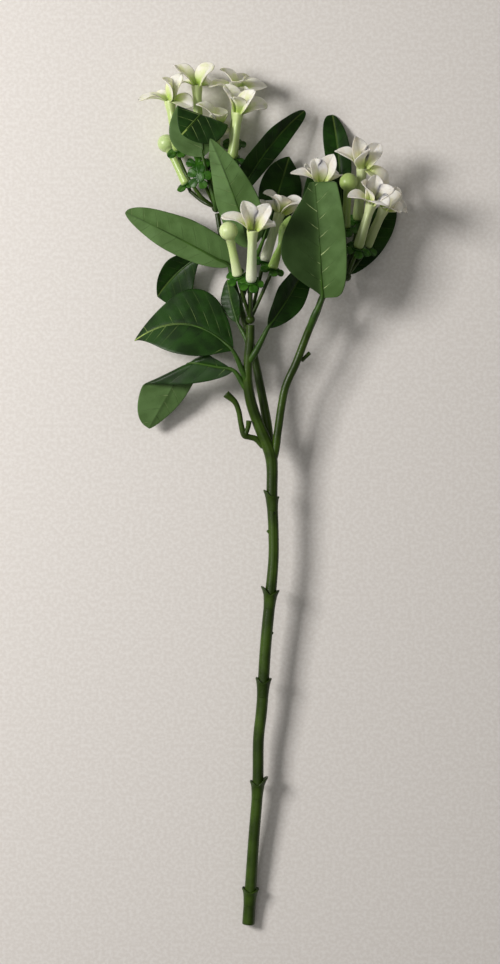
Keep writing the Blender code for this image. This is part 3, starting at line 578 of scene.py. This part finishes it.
def piece(name, shells, finishes, node):
    """One mesh of closed skins that stands for a solid of the frame."""
    corners, notes, faces, kinds, count = [], [], [], [], 0
    for points, marks, groups, finish in shells:
        corners.append(points)
        notes.append(marks)
        for group in groups:
            faces += (group + count).tolist()
            kinds += [finish] * len(group)
        count += len(points)
    places = np.vstack(corners) - np.array([*FOOTPRINT_CENTRE, 0.0])
    places[:, 2] = np.maximum(places[:, 2], 0.0)  # what rests on the surface is pressed flat by it
    mesh = bpy.data.meshes.new(name)
    mesh.from_pydata((places * MM).tolist(), [], faces)
    note = mesh.attributes.new("marks", "FLOAT_VECTOR", "POINT")
    note.data.foreach_set("vector", np.vstack(notes).astype(np.float32).ravel())
    for finish in finishes:
        mesh.materials.append(finish)
    mesh.polygons.foreach_set("material_index", np.array(kinds, dtype=np.int32))
    mesh.shade_smooth()
    made = bpy.data.objects.new(name, mesh)
    bpy.context.scene.collection.objects.link(made)
    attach(made, "root")
    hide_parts(node)
    return made


# Finishes


def linear(colour):
    """An sRGB hex string as the linear colour that a shader takes."""
    shares = [int(colour[place:place + 2], 16) / 255 for place in (0, 2, 4)]
    return (*(s / 12.92 if s <= 0.04045 else ((s + 0.055) / 1.055) ** 2.4 for s in shares), 1.0)


def add(tree, kind, settings=None, links=None):
    """Adds a node, with its settings, and each input's value or the socket that feeds it."""
    made = tree.nodes.new("ShaderNode" + kind)
    for key, value in (settings or {}).items():
        setattr(made, key, value)
    for key, value in (links or {}).items():
        if isinstance(value, bpy.types.NodeSocket):
            tree.links.new(value, made.inputs[key])
        else:
            made.inputs[key].default_value = value
    return made


def finish_of(name, roughness, ior, sheen=0.0, coat=0.0, subsurface=0.0, specular=0.5):
    """A material with its Principled shader, and the tree that its pattern goes into."""
    made = bpy.data.materials.new(name)
    made.use_nodes = True
    shader = made.node_tree.nodes["Principled BSDF"]
    shader.inputs["Roughness"].default_value = roughness
    shader.inputs["IOR"].default_value = ior
    shader.inputs["Specular IOR Level"].default_value = specular
    shader.inputs["Sheen Weight"].default_value = sheen
    shader.inputs["Coat Weight"].default_value = coat
    shader.inputs["Coat Roughness"].default_value = 0.25
    shader.inputs["Subsurface Weight"].default_value = subsurface
    shader.inputs["Subsurface Radius"].default_value = (1.0, 1.0, 0.9)
    shader.inputs["Subsurface Scale"].default_value = 2.0 * MM
    return made, made.node_tree, shader


def mottle(tree, size, detail=3.0):
    """Cloudy noise, 0 to 1, whose patches are about size millimetres across."""
    where = add(tree, "TexCoord").outputs["Object"]
    return add(
        tree, "TexNoise", None, {"Vector": where, "Scale": 1.0 / (size * MM), "Detail": detail},
    ).outputs["Fac"]


def blend(tree, share, first, second):
    """A colour between two, which are hex strings or sockets, by a share."""
    pair = [linear(colour) if isinstance(colour, str) else colour for colour in (first, second)]
    return add(
        tree, "Mix", {"data_type": "RGBA"}, {0: share, 6: pair[0], 7: pair[1]},
    ).outputs[2]


def ramp(tree, value, low, high, bottom=0.0, top=1.0):
    """A value carried from low..high to bottom..top along a smooth step."""
    return add(
        tree, "MapRange", {"interpolation_type": "SMOOTHSTEP"},
        {"Value": value, 1: low, 2: high, 3: bottom, 4: top},
    ).outputs[0]


def reckon(tree, sign, first, second=0.0):
    """One step of arithmetic on two values or sockets."""
    return add(tree, "Math", {"operation": sign}, {0: first, 1: second}).outputs[0]


def marks_of(tree):
    """The three marks that a skin carries at each point."""
    note = add(tree, "Attribute", {"attribute_name": "marks"}).outputs["Vector"]
    return add(tree, "SeparateXYZ", None, {0: note}).outputs


def relief_of(tree, shader, height, depth):
    """Feeds a height, 0 to 1, of the given depth in millimetres to the shader's normal."""
    bump = add(tree, "Bump", None, {"Height": height, "Distance": depth * MM, "Strength": 1.0})
    tree.links.new(bump.outputs["Normal"], shader.inputs["Normal"])


def leaf_fabric(name, print_strength, streaks, painted_shade_half, gloss):
    """Polyester satin, stiffened and printed: a dark face, a matt sage back and faint side veins.

    A side vein lies where the share along the rib, less a seventh of the share across to a power,
    is a whole number of spacings. The two halves' veins stand half a spacing apart. The print is
    patchy, so that a vein is pale in one place, a dark groove in the next, and gone in others.
    Streaks are bare threads beside the rib on the back, and the argument after the streaks paints shade onto one half
    of the back, darkening it.
    """
    made, tree, shader = finish_of(name, 0.42, 1.48, specular=gloss)
    off, along, face = marks_of(tree)
    upper = ramp(tree, face, -0.4, 0.4)
    away = reckon(tree, "ABSOLUTE", off)
    half = reckon(tree, "MULTIPLY", reckon(tree, "GREATER_THAN", off, 0.0), 0.5)
    climb = reckon(tree, "MULTIPLY", reckon(tree, "POWER", away, 1.15), 0.0068)
    phase = reckon(tree, "MULTIPLY", reckon(tree, "SUBTRACT", along, climb), VEINS)
    phase = reckon(tree, "ADD", phase, half)
    near = reckon(tree, "ABSOLUTE", reckon(tree, "SUBTRACT", reckon(tree, "FRACT", phase), 0.5))
    wander = reckon(tree, "MULTIPLY", reckon(tree, "SUBTRACT", mottle(tree, 6.0), 0.5), 0.09)
    near = reckon(tree, "ABSOLUTE", reckon(tree, "ADD", near, wander))
    vein = ramp(tree, near, 0.01, 0.03, 1.0, 0.0)
    vein = reckon(tree, "MULTIPLY", vein, ramp(tree, away, 4.0, 12.0, 1.0, 0.15))
    patch = mottle(tree, 22.0, 1.0)
    pale = reckon(tree, "MULTIPLY", vein, ramp(tree, patch, 0.42, 0.56))
    dark = reckon(tree, "MULTIPLY", vein, ramp(tree, patch, 0.36, 0.48, 1.0, 0.0))
    rib = ramp(tree, away, 0.3, 0.65, 1.0, 0.0)
    cloud = ramp(tree, mottle(tree, 12.0), 0.35, 0.65)
    top = blend(tree, cloud, "142B09", "204010")
    top = blend(tree, reckon(tree, "MULTIPLY", pale, print_strength * 0.8), top, "8CA65C")
    top = blend(tree, reckon(tree, "MULTIPLY", dark, 0.7), top, "0E1C08")
    top = blend(tree, reckon(tree, "MULTIPLY", rib, print_strength), top, "9CB45C")
    back = blend(tree, cloud, "4A6634", "577541")
    back = blend(tree, reckon(tree, "MULTIPLY", vein, 0.35), back, "3F5828")
    back = blend(tree, reckon(tree, "MULTIPLY", rib, 0.6), back, "3A5226")
    beside = reckon(tree, "MULTIPLY", vein, ramp(tree, away, 3.0, 8.0, streaks, 0.0))
    beside = reckon(tree, "MULTIPLY", beside, ramp(tree, mottle(tree, 9.0, 1.0), 0.42, 0.6))
    # painted shade: one half of the back, on one side of the rib, darkened as if in shadow
    back = blend(tree, ramp(tree, off, -3.0, 6.0, 0.0, painted_shade_half), back, "1E3414")
    back = blend(tree, beside, back, "B4C88A")
    tree.links.new(blend(tree, upper, back, top), shader.inputs["Base Color"])
    tree.links.new(ramp(tree, upper, 0.0, 1.0, 0.6, 0.4), shader.inputs["Roughness"])
    weave = reckon(tree, "MULTIPLY", mottle(tree, 0.7, 1.0), 0.3)
    height = reckon(tree, "ADD", weave, reckon(tree, "MULTIPLY", vein, -0.6))
    relief_of(tree, shader, height, 0.25)
    return made


def petal_fabric(name, tip, throat, shade, rim):
    """Waxed polyester satin: white with a faint shade, green in the throat, its cut rim a thin line."""
    made, tree, shader = finish_of(name, 0.5, 1.45, sheen=0.15, subsurface=1.0, specular=0.3)
    off, along, face = marks_of(tree)
    petal = blend(tree, ramp(tree, mottle(tree, 5.0), 0.4, 0.7), tip, shade)
    spread = reckon(tree, "ADD", along, reckon(tree, "MULTIPLY", reckon(tree, "ABSOLUTE", off), 0.03))
    colour = blend(tree, ramp(tree, spread, 0.1, 0.75), throat, petal)
    edge = ramp(tree, reckon(tree, "ABSOLUTE", face), 0.5, 0.97, rim, 0.0)
    tree.links.new(blend(tree, edge, colour, "8D8478"), shader.inputs["Base Color"])
    away = reckon(tree, "ABSOLUTE", off)
    grain = reckon(tree, "MULTIPLY", mottle(tree, 1.2, 2.0), 0.5)
    grain = reckon(tree, "ADD", grain, ramp(tree, away, 0.0, 0.8, 0.0, 0.5))
    relief_of(tree, shader, grain, 0.25)
    return made


def waxy_tube(name, foot, middle, top):
    """A flower's tube, moulded in soft polyethylene: pale at its foot and greener upwards."""
    made, tree, shader = finish_of(name, 0.36, 1.5, subsurface=0.6, coat=0.08)
    _, along, _ = marks_of(tree)
    colour = blend(tree, ramp(tree, along, 0.0, 0.5), foot, middle)
    colour = blend(tree, ramp(tree, along, 0.45, 1.0), colour, top)
    colour = blend(tree, ramp(tree, mottle(tree, 6.0), 0.4, 0.9, 0.0, 0.35), colour, foot)
    tree.links.new(colour, shader.inputs["Base Color"])
    relief_of(tree, shader, mottle(tree, 1.5, 2.0), 0.12)
    return made


def moulded_green(name, dark, light, roughness, patch):
    """Low-density polyethylene, injection moulded: satin, a little uneven in colour and skin."""
    made, tree, shader = finish_of(name, roughness, 1.51, specular=0.25)
    cloud = mottle(tree, patch)
    tree.links.new(blend(tree, ramp(tree, cloud, 0.35, 0.7), dark, light), shader.inputs["Base Color"])
    fine = mottle(tree, 1.1, 2.0)
    tree.links.new(ramp(tree, fine, 0.3, 0.8, roughness - 0.06, roughness + 0.12), shader.inputs["Roughness"])
    relief_of(tree, shader, fine, 0.12)
    return made


def pale_floor():
    """Plain pale paper, faintly flecked."""
    made, tree, shader = finish_of("pale_paper", 0.85, 1.45)
    flecks = ramp(tree, mottle(tree, 2.2), 0.36, 0.68)
    tree.links.new(blend(tree, flecks, "E1DDD8", "EAE7E3"), shader.inputs["Base Color"])
    relief_of(tree, shader, mottle(tree, 3.0), 0.05)
    return made


# Pieces


def dress_leaves(fabrics, plastic):
    """Each leaf: a veined blade, and its rib and sleeve in one tube that thins towards the tip."""
    for number, (node, leaf) in enumerate(LEAVES.items()):
        wave = number * 1.7

        def relief(u, v, off, run):
            """A groove along the rib, shallow swells between the side veins, and a wavy edge."""
            groove = -0.45 * np.exp(-(off / 1.1) ** 2) * (1 - u) ** 0.3
            phase = (u - 0.0068 * np.abs(off) ** 1.15) * VEINS + 0.5 * (off > 0)
            swell = 0.08 * np.cos(math.tau * phase) * np.clip(np.abs(off) / 4, 0, 1) * (1 - np.abs(v) ** 4)
            edge = 0.55 * np.abs(v) ** 3 * np.sin(math.tau * 2.3 * u + wave + 2 * np.sign(v)) * np.sin(math.pi * u)
            return groove + swell + edge

        fit = blade_fit(leaf.base, leaf.tip, UP, leaf.roll, leaf.blade)
        blade = sheet(110, 40, LEAF_SKIN, fit, leaf.blade, leaf.base, relief)
        shares = np.linspace(0.04, 0.9, 24)
        ribline = blade_points(shares, np.zeros(24), fit[0], leaf.blade)
        ribline[:, 2] -= 0.25
        ribline = ribline @ fit[1] + np.array(leaf.base)
        stalk = [[*spot, leaf.sleeve] for spot in leaf.stalk]
        neck = smooth([*stalk, [*leaf.base, leaf.sleeve * 0.62], [*ribline[2], 0.8]], 8)
        rib = np.column_stack([ribline[3:], np.interp(shares[3:], (0.1, 0.9), (0.75, 0.25))])
        handle = rings(rounded(np.vstack([neck, rib])), 16)
        finishes = [fabrics[LEAF_PRINTS.get(node, "plain")], plastic]
        piece(f"{node}_fabric", [shell(*blade), shell(*handle, finish=1)], finishes, node)


def axis_of(flower):
    """The direction from a flower's calyx to its throat."""
    return unit(np.subtract(flower.throat, flower.calyx))


def dress_calyces(plastic):
    """Each calyx: a shallow dish with five paddle lobes."""
    def plain(u, v, off, run):
        """A shallow groove along the lobe."""
        return -0.12 * np.exp(-(off / 0.6) ** 2)

    for place, flower in FLOWERS.items():
        axes = frame_of(axis_of(flower), UP, 0.0)
        centre = np.array(flower.calyx)
        profile = np.array([[-0.45, 1.6], [-0.3, DISH_RADIUS], [0.15, DISH_RADIUS + 0.2], [0.42, DISH_RADIUS - 0.3], [0.3, 1.6]])
        path = np.column_stack([centre + axes[:, 0] * profile[:, :1], profile[:, 1]])
        above, beside = axes[:, 2], axes[:, 1]
        angle = np.arange(40) / 40 * math.tau
        spoke = above * np.cos(angle)[:, None] + beside * np.sin(angle)[:, None]
        dish = path[:, None, :3] + spoke[None] * path[:, None, 3:4]
        shells = [shell(dish, np.ones_like(dish))]
        for number in range(LOBES):
            turn = math.radians(36.0 + 72.0 * number)
            outward = beside * math.cos(turn) + above * math.sin(turn)
            base = centre + outward * 1.8
            hang = LOBE_HANG * math.sin(turn) * above[2]
            tip = centre + outward * LOBE_REACH + axes[:, 0] * (LOBE_RISE - hang)
            facing = axes[:, 0] + np.array(UP) * LOBE_TURN
            fit = blade_fit(base, tip, facing, 0.0, LOBE)
            shells.append(shell(*sheet(18, 12, 0.7, fit, LOBE, base, plain)))
        piece(f"calyx_{place}_moulding", shells, [plastic], f"calyx_{place}")


def dress_blooms(petal_finishes, tube_finishes):
    """Each bloom: a tube that swells at its foot and flares at its throat, and five curled petals."""
    for order, (place, flower) in enumerate(FLOWERS.items()):
        if flower.kind != "bloom":
            continue
        axis = axis_of(flower)
        foot, throat = np.array(flower.calyx) + axis * PEG, np.array(flower.throat)
        reach = np.linalg.norm(throat - foot)
        share = np.linspace(0.0, 1.0, 34)
        radius = np.interp(share, (0.0, 0.05, 0.12, 0.5, 0.8, 1.0), (0.7, 0.98, 1.02, 0.86, 0.82, 1.06))
        stem = np.column_stack([foot + axis * (share * reach)[:, None], radius * TUBE_RADIUS])
        inside = np.column_stack([
            throat + axis * np.array([[THROAT_RISE], [THROAT_RISE - 0.2], [-1.5], [-3.5]]), [3.4, 2.9, 1.9, 0.9],
        ])

        def folds(run, angle):
            """Five shallow ridges along the tube."""
            return 0.12 * np.cos(angle * PETALS) * np.clip(run / 8, 0, 1)

        tube = rings(np.vstack([stem, inside]), 40, UP, folds)
        shells = [shell(*tube, finish=1)]
        facing = axis + np.array(UP) * flower.face
        for number, petal in enumerate(np.array(flower.petals)):
            outward = unit(petal - axis * (petal @ axis))
            base = throat + axis * THROAT_RISE + outward * THROAT_RADIUS * 0.6
            phase = order * 2.1 + number * 1.3
            curl = 1.4 * math.sin(phase * 2.7)

            def relief(u, v, off, run):
                """A crease along the middle, a lazy wave in the edges and a tip that curls over."""
                crease = -0.5 * np.exp(-(off / 0.9) ** 2) * np.clip(1.1 - u, 0.0, 1.0)
                wave = 0.9 * np.abs(v) ** 2 * np.sin(math.tau * 1.1 * u + phase + 1.4 * np.sign(v)) * u
                return crease + wave + curl * np.clip((u - 0.6) / 0.4, 0.0, 1.0) ** 2

            fit = blade_fit(base, throat + petal, facing, PETAL_ROLL, PETAL)
            shells.append(shell(*sheet(40, 18, PETAL_SKIN, fit, PETAL, base, relief)))
        cluster = flower.hub
        finishes = [petal_finishes[cluster], tube_finishes[cluster]]
        piece(f"bloom_{place}_petals", shells, finishes, f"bloom_{place}")


def dress_buds(finishes):
    """Each bud: a tube under a round or pointed head, with five faint seams where petals will part."""
    for place, flower in FLOWERS.items():
        if flower.kind not in ("ball", "pointed"):
            continue
        axis = axis_of(flower)
        foot = np.array(flower.calyx) + axis * PEG
        reach = np.linalg.norm(np.array(flower.throat) - foot)
        if flower.kind == "ball":
            angles = np.radians(np.linspace(-60.0, 86.0, 22))
            head = np.column_stack([reach + BALL_RADIUS * np.sin(angles), BALL_RADIUS * np.cos(angles)])
            neck = np.array([[0.0, 2.2], [0.8, 3.0], [2.2, 3.2], [reach * 0.3, 2.75], [reach * 0.6, 2.45]])
            profile = np.vstack([smooth(neck, 5), head])
        else:
            profile = smooth([
                (0.0, 2.2), (1.4, 3.1), (8.0, 2.6), (15.0, 1.6), (20.0, 3.0), (25.0, 4.3), (30.0, 3.4), (35.0, 0.5),
            ], 6)
        top = profile[-1, 0]

        def seams(run, angle):
            """Five shallow grooves on the head, turned a little as the bud is."""
            head_share = np.clip((run / run.max() - 0.62) / 0.3, 0, 1)
            return -0.22 * head_share * np.exp(-(np.abs(np.sin((angle + run * 0.05) * PETALS / 2)) / 0.22) ** 2)

        path = np.column_stack([foot + axis * profile[:, :1], profile[:, 1]])
        body = rings(path, 40, UP, seams)
        finish = finishes["pointed" if flower.kind == "pointed" else flower.hub]
        piece(f"bud_{place}_moulding", [shell(*body)], [finish], f"bud_{place}")


def dress_stalks(plastic):
    """Each cluster's stalks and the knob that they spring from."""
    for cluster, hub in HUBS.items():
        angles = np.radians(np.linspace(-84.0, 84.0, 15))
        height = np.column_stack([np.zeros((15, 2)), np.sin(angles) * HUB_RADIUS])
        knob = np.column_stack([np.array(hub) + height, np.cos(angles) * HUB_RADIUS])
        shells = [shell(*rings(knob, 24, (1.0, 0.0, 0.0)))]
        for flower in FLOWERS.values():
            if flower.hub == cluster:
                axis = axis_of(flower)
                end = np.array(flower.calyx) - axis * PEG
                lead = end - axis * 4.0
                route = [[*spot, STALK_RADIUS] for spot in (hub, *flower.way, lead)]
                path = np.vstack([smooth(route, 10), [*(end - axis * 1.0), STALK_RADIUS], [*end, 1.9]])
                shells.append(shell(*rings(path, 16)))
        if cluster == "centre":
            shells.append(shell(*rings(rounded(smooth(UPRIGHT_STALK, 10)), 18)))
        name = f"{cluster}_flower_stalks"
        piece(f"{name}_moulding", shells, [plastic], name)


def groove(run, angle):
    """The mould's line along a stem, a little to the right of the top."""
    return -0.3 * np.exp(-((np.angle(np.exp(1j * (angle - 0.35)))) / 0.16) ** 2)


def collar(route, place, left, right, left_flare, right_flare):
    """A flared cup round the trunk whose rim stands up in a lip at each side and dips at the top.

    Its section is carried round the trunk: up the flared outside, over a thin rim and down the
    inside. The rim is lifted by each lip's height times s^2 (3 - 2 s), with s the sine of the angle
    from the top, and spread in the same way until the lip lies as far out as its flare.
    """
    fine = smooth(route, 16)
    joint = float(np.interp(place, fine[:, 1], np.arange(len(fine))))
    run = np.concatenate([[0.0], np.cumsum(np.linalg.norm(np.diff(fine[:, :3], axis=0), axis=1))])
    at = float(np.interp(joint, np.arange(len(fine)), run))
    angle = np.arange(56) / 56 * math.tau
    swing = np.sin(angle)
    toward_right, toward_left = [side ** 2 * (3 - 2 * side) for side in (np.clip(swing, 0, 1), np.clip(-swing, 0, 1))]
    lip = right * toward_right + left * toward_left
    spread = (right_flare - COLLAR_RIM) * toward_right + (left_flare - COLLAR_RIM) * toward_left
    section = np.array([  # millimetres along, share of the lip, share of the trunk's radius
        (-11.0, 0.0, 0.97), (-8.0, 0.0, 1.01), (-4.5, 0.1, 1.08), (-1.8, 0.35, 1.17), (-0.5, 0.7, 1.28),
        (-0.1, 0.86, 1.35), (0.3, 0.96, COLLAR_RIM), (0.6, 1.0, 1.31), (0.6, 0.98, 1.24), (0.2, 0.88, 1.17),
        (-1.0, 0.5, 1.08), (-2.5, 0.2, 1.0), (-5.0, 0.0, 0.9),
    ])
    distance = at + section[:, :1] + section[:, 1:2] * lip[None, :]
    spot = np.stack([np.interp(distance, run, fine[:, axis]) for axis in range(4)], axis=-1)
    above, beside = carried(fine, UP)
    nearest = int(round(joint))
    spoke = above[nearest] * np.cos(angle)[:, None] + beside[nearest] * np.sin(angle)[:, None]
    reach = spot[..., 3] * (section[:, 2:3] + section[:, 1:2] ** 2 * spread[None, :] * 0.9)
    points = spot[..., :3] + spoke[None] * reach[..., None]
    return shell(points, np.ones_like(points), loop=True)


def dress_stems(plastic):
    """The trunk with its cups, nubs and bare stub, and the two branches."""
    def trunk_skin(run, angle):
        """The mould's groove, only along the stretch from 200 to 360 mm up the trunk."""
        return groove(run, angle) * np.clip((run - 200) / 20, 0, 1) * np.clip((360 - run) / 20, 0, 1)

    shells = [shell(*rings(rounded(smooth(TRUNK, 16), 0.1), 40, UP, trunk_skin))]
    shells += [collar(TRUNK, *where) for where in COLLARS]
    for twig in (STUB, STUB_BUD):
        shells.append(shell(*rings(rounded(smooth(twig, 10), 0.1), 20)))
    for nub in STEM_BUMPS:
        shells.append(shell(*rings(rounded(smooth(nub, 6)), 16)))
    piece("main_stem_moulding", shells, [plastic], "main_stem")
    right = [shell(*rings(smooth(RIGHT_BRANCH, 16), 28, UP, groove)), shell(*rings(rounded(smooth(RIGHT_BUD, 6)), 16))]
    piece("right_branch_moulding", right, [plastic], "right_branch")
    middle = [shell(*rings(smooth(MIDDLE_BRANCH, 16), 28, UP))]
    piece("middle_branch_moulding", middle, [plastic], "middle_branch")


# Stage


def stage():
    """A pale floor, soft light from the left and above, and the camera over the spray."""
    mesh = bpy.data.meshes.new("floor")
    reach = 3.0
    mesh.from_pydata([(-reach, -reach, 0.0), (reach, -reach, 0.0), (reach, reach, 0.0), (-reach, reach, 0.0)], [], [(0, 1, 2, 3)])
    mesh.materials.append(pale_floor())
    floor = bpy.data.objects.new("floor", mesh)
    bpy.context.scene.collection.objects.link(floor)

    def lamp(name, place, size, power, colour):
        """A square soft light aimed at the middle of the spray."""
        light = bpy.data.lights.new(name, "AREA")
        light.size = size
        light.energy = power
        light.color = linear(colour)[:3]
        holder = bpy.data.objects.new(name, light)
        holder.location = place
        axes = frame_of(place, UP, 0.0)
        holder.rotation_euler = Matrix(axes[:, [1, 2, 0]].tolist()).to_euler()
        bpy.context.scene.collection.objects.link(holder)

    lamp("window", (-1.04, 0.36, 0.95), 0.42, 19.0, "FFFBF8")
    lamp("ceiling", (-0.6, -0.3, 2.4), 2.2, 8.0, "FFFCFA")
    world = bpy.data.worlds.new("room")
    world.use_nodes = True
    world.node_tree.nodes["Background"].inputs[0].default_value = linear("F2EFEA")
    world.node_tree.nodes["Background"].inputs[1].default_value = 0.16
    bpy.context.scene.world = world
    bpy.context.scene.view_settings.view_transform = "Standard"  # the hex colours show as they are

    lens = bpy.data.cameras.new("camera")
    lens.sensor_width = SENSOR
    lens.lens = SENSOR * CAMERA_PLACE[2] / (max(PHOTO_SIZE) * PHOTO_SCALE)
    lens.clip_end = 20.0
    camera = bpy.data.objects.new("camera", lens)
    camera.location = [
        (CAMERA_PLACE[0] - FOOTPRINT_CENTRE[0]) * MM, (CAMERA_PLACE[1] - FOOTPRINT_CENTRE[1]) * MM, CAMERA_PLACE[2] * MM,
    ]
    bpy.context.scene.collection.objects.link(camera)
    bpy.context.scene.camera = camera


def main():
    """Dresses every solid and sets the stage."""
    leaves = {
        "veined": leaf_fabric("polyester_leaf_veined", 0.9, 0.3, 0.0, 0.28),
        "plain": leaf_fabric("polyester_leaf_plain", 0.2, 0.15, 0.0, 0.16),
        # the streaked fabric paints shade, at 0.6, onto one half of each back
        "streaked_painted_shade": leaf_fabric("polyester_leaf_streaked", 0.2, 1.0, 0.6, 0.16),
    }
    sleeve = moulded_green("polyethylene_leaf_stalk", "29450F", "3A5C18", 0.42, 8.0)
    stem = moulded_green("polyethylene_stem", "26390A", "3A5214", 0.36, 14.0)
    calyx = moulded_green("polyethylene_calyx", "1F4A0A", "3A6A18", 0.36, 5.0)
    petals = {
        "centre": petal_fabric("waxed_petal_centre", "F8F3E4", "BDD272", "EDE2D0", 0.35),
        "right": petal_fabric("waxed_petal_right", "F8F3E4", "BFD37C", "EDE2CF", 0.3),
        "left": petal_fabric("waxed_petal_left", "F6F3E2", "B2CE6A", "E2E8B8", 0.75),
    }
    tubes = {
        "centre": waxy_tube("waxed_tube_centre", "DBE0C6", "C2D0A4", "CBDC98"),
        "right": waxy_tube("waxed_tube_right", "94A968", "B4C28C", "CCD6A6"),
        "left": waxy_tube("waxed_tube_left", "9BB466", "B6CC84", "CDDC9C"),
    }
    buds = {
        "centre": waxy_tube("waxed_bud_centre", "D2DDB0", "BACE88", "CBDAA2"),
        "pointed": waxy_tube("waxed_bud_pointed", "9DBB62", "8FB356", "A6C672"),
        "right": waxy_tube("waxed_bud_right", "7F9A4C", "8FAA58", "A9BF72"),
        "left": waxy_tube("waxed_bud_left", "AEC678", "A8C274", "C0D398"),
    }
    dress_stems(stem)
    dress_stalks(stem)
    dress_leaves(leaves, sleeve)
    dress_calyces(calyx)
    dress_blooms(petals, tubes)
    dress_buds(buds)
    stage()


main()
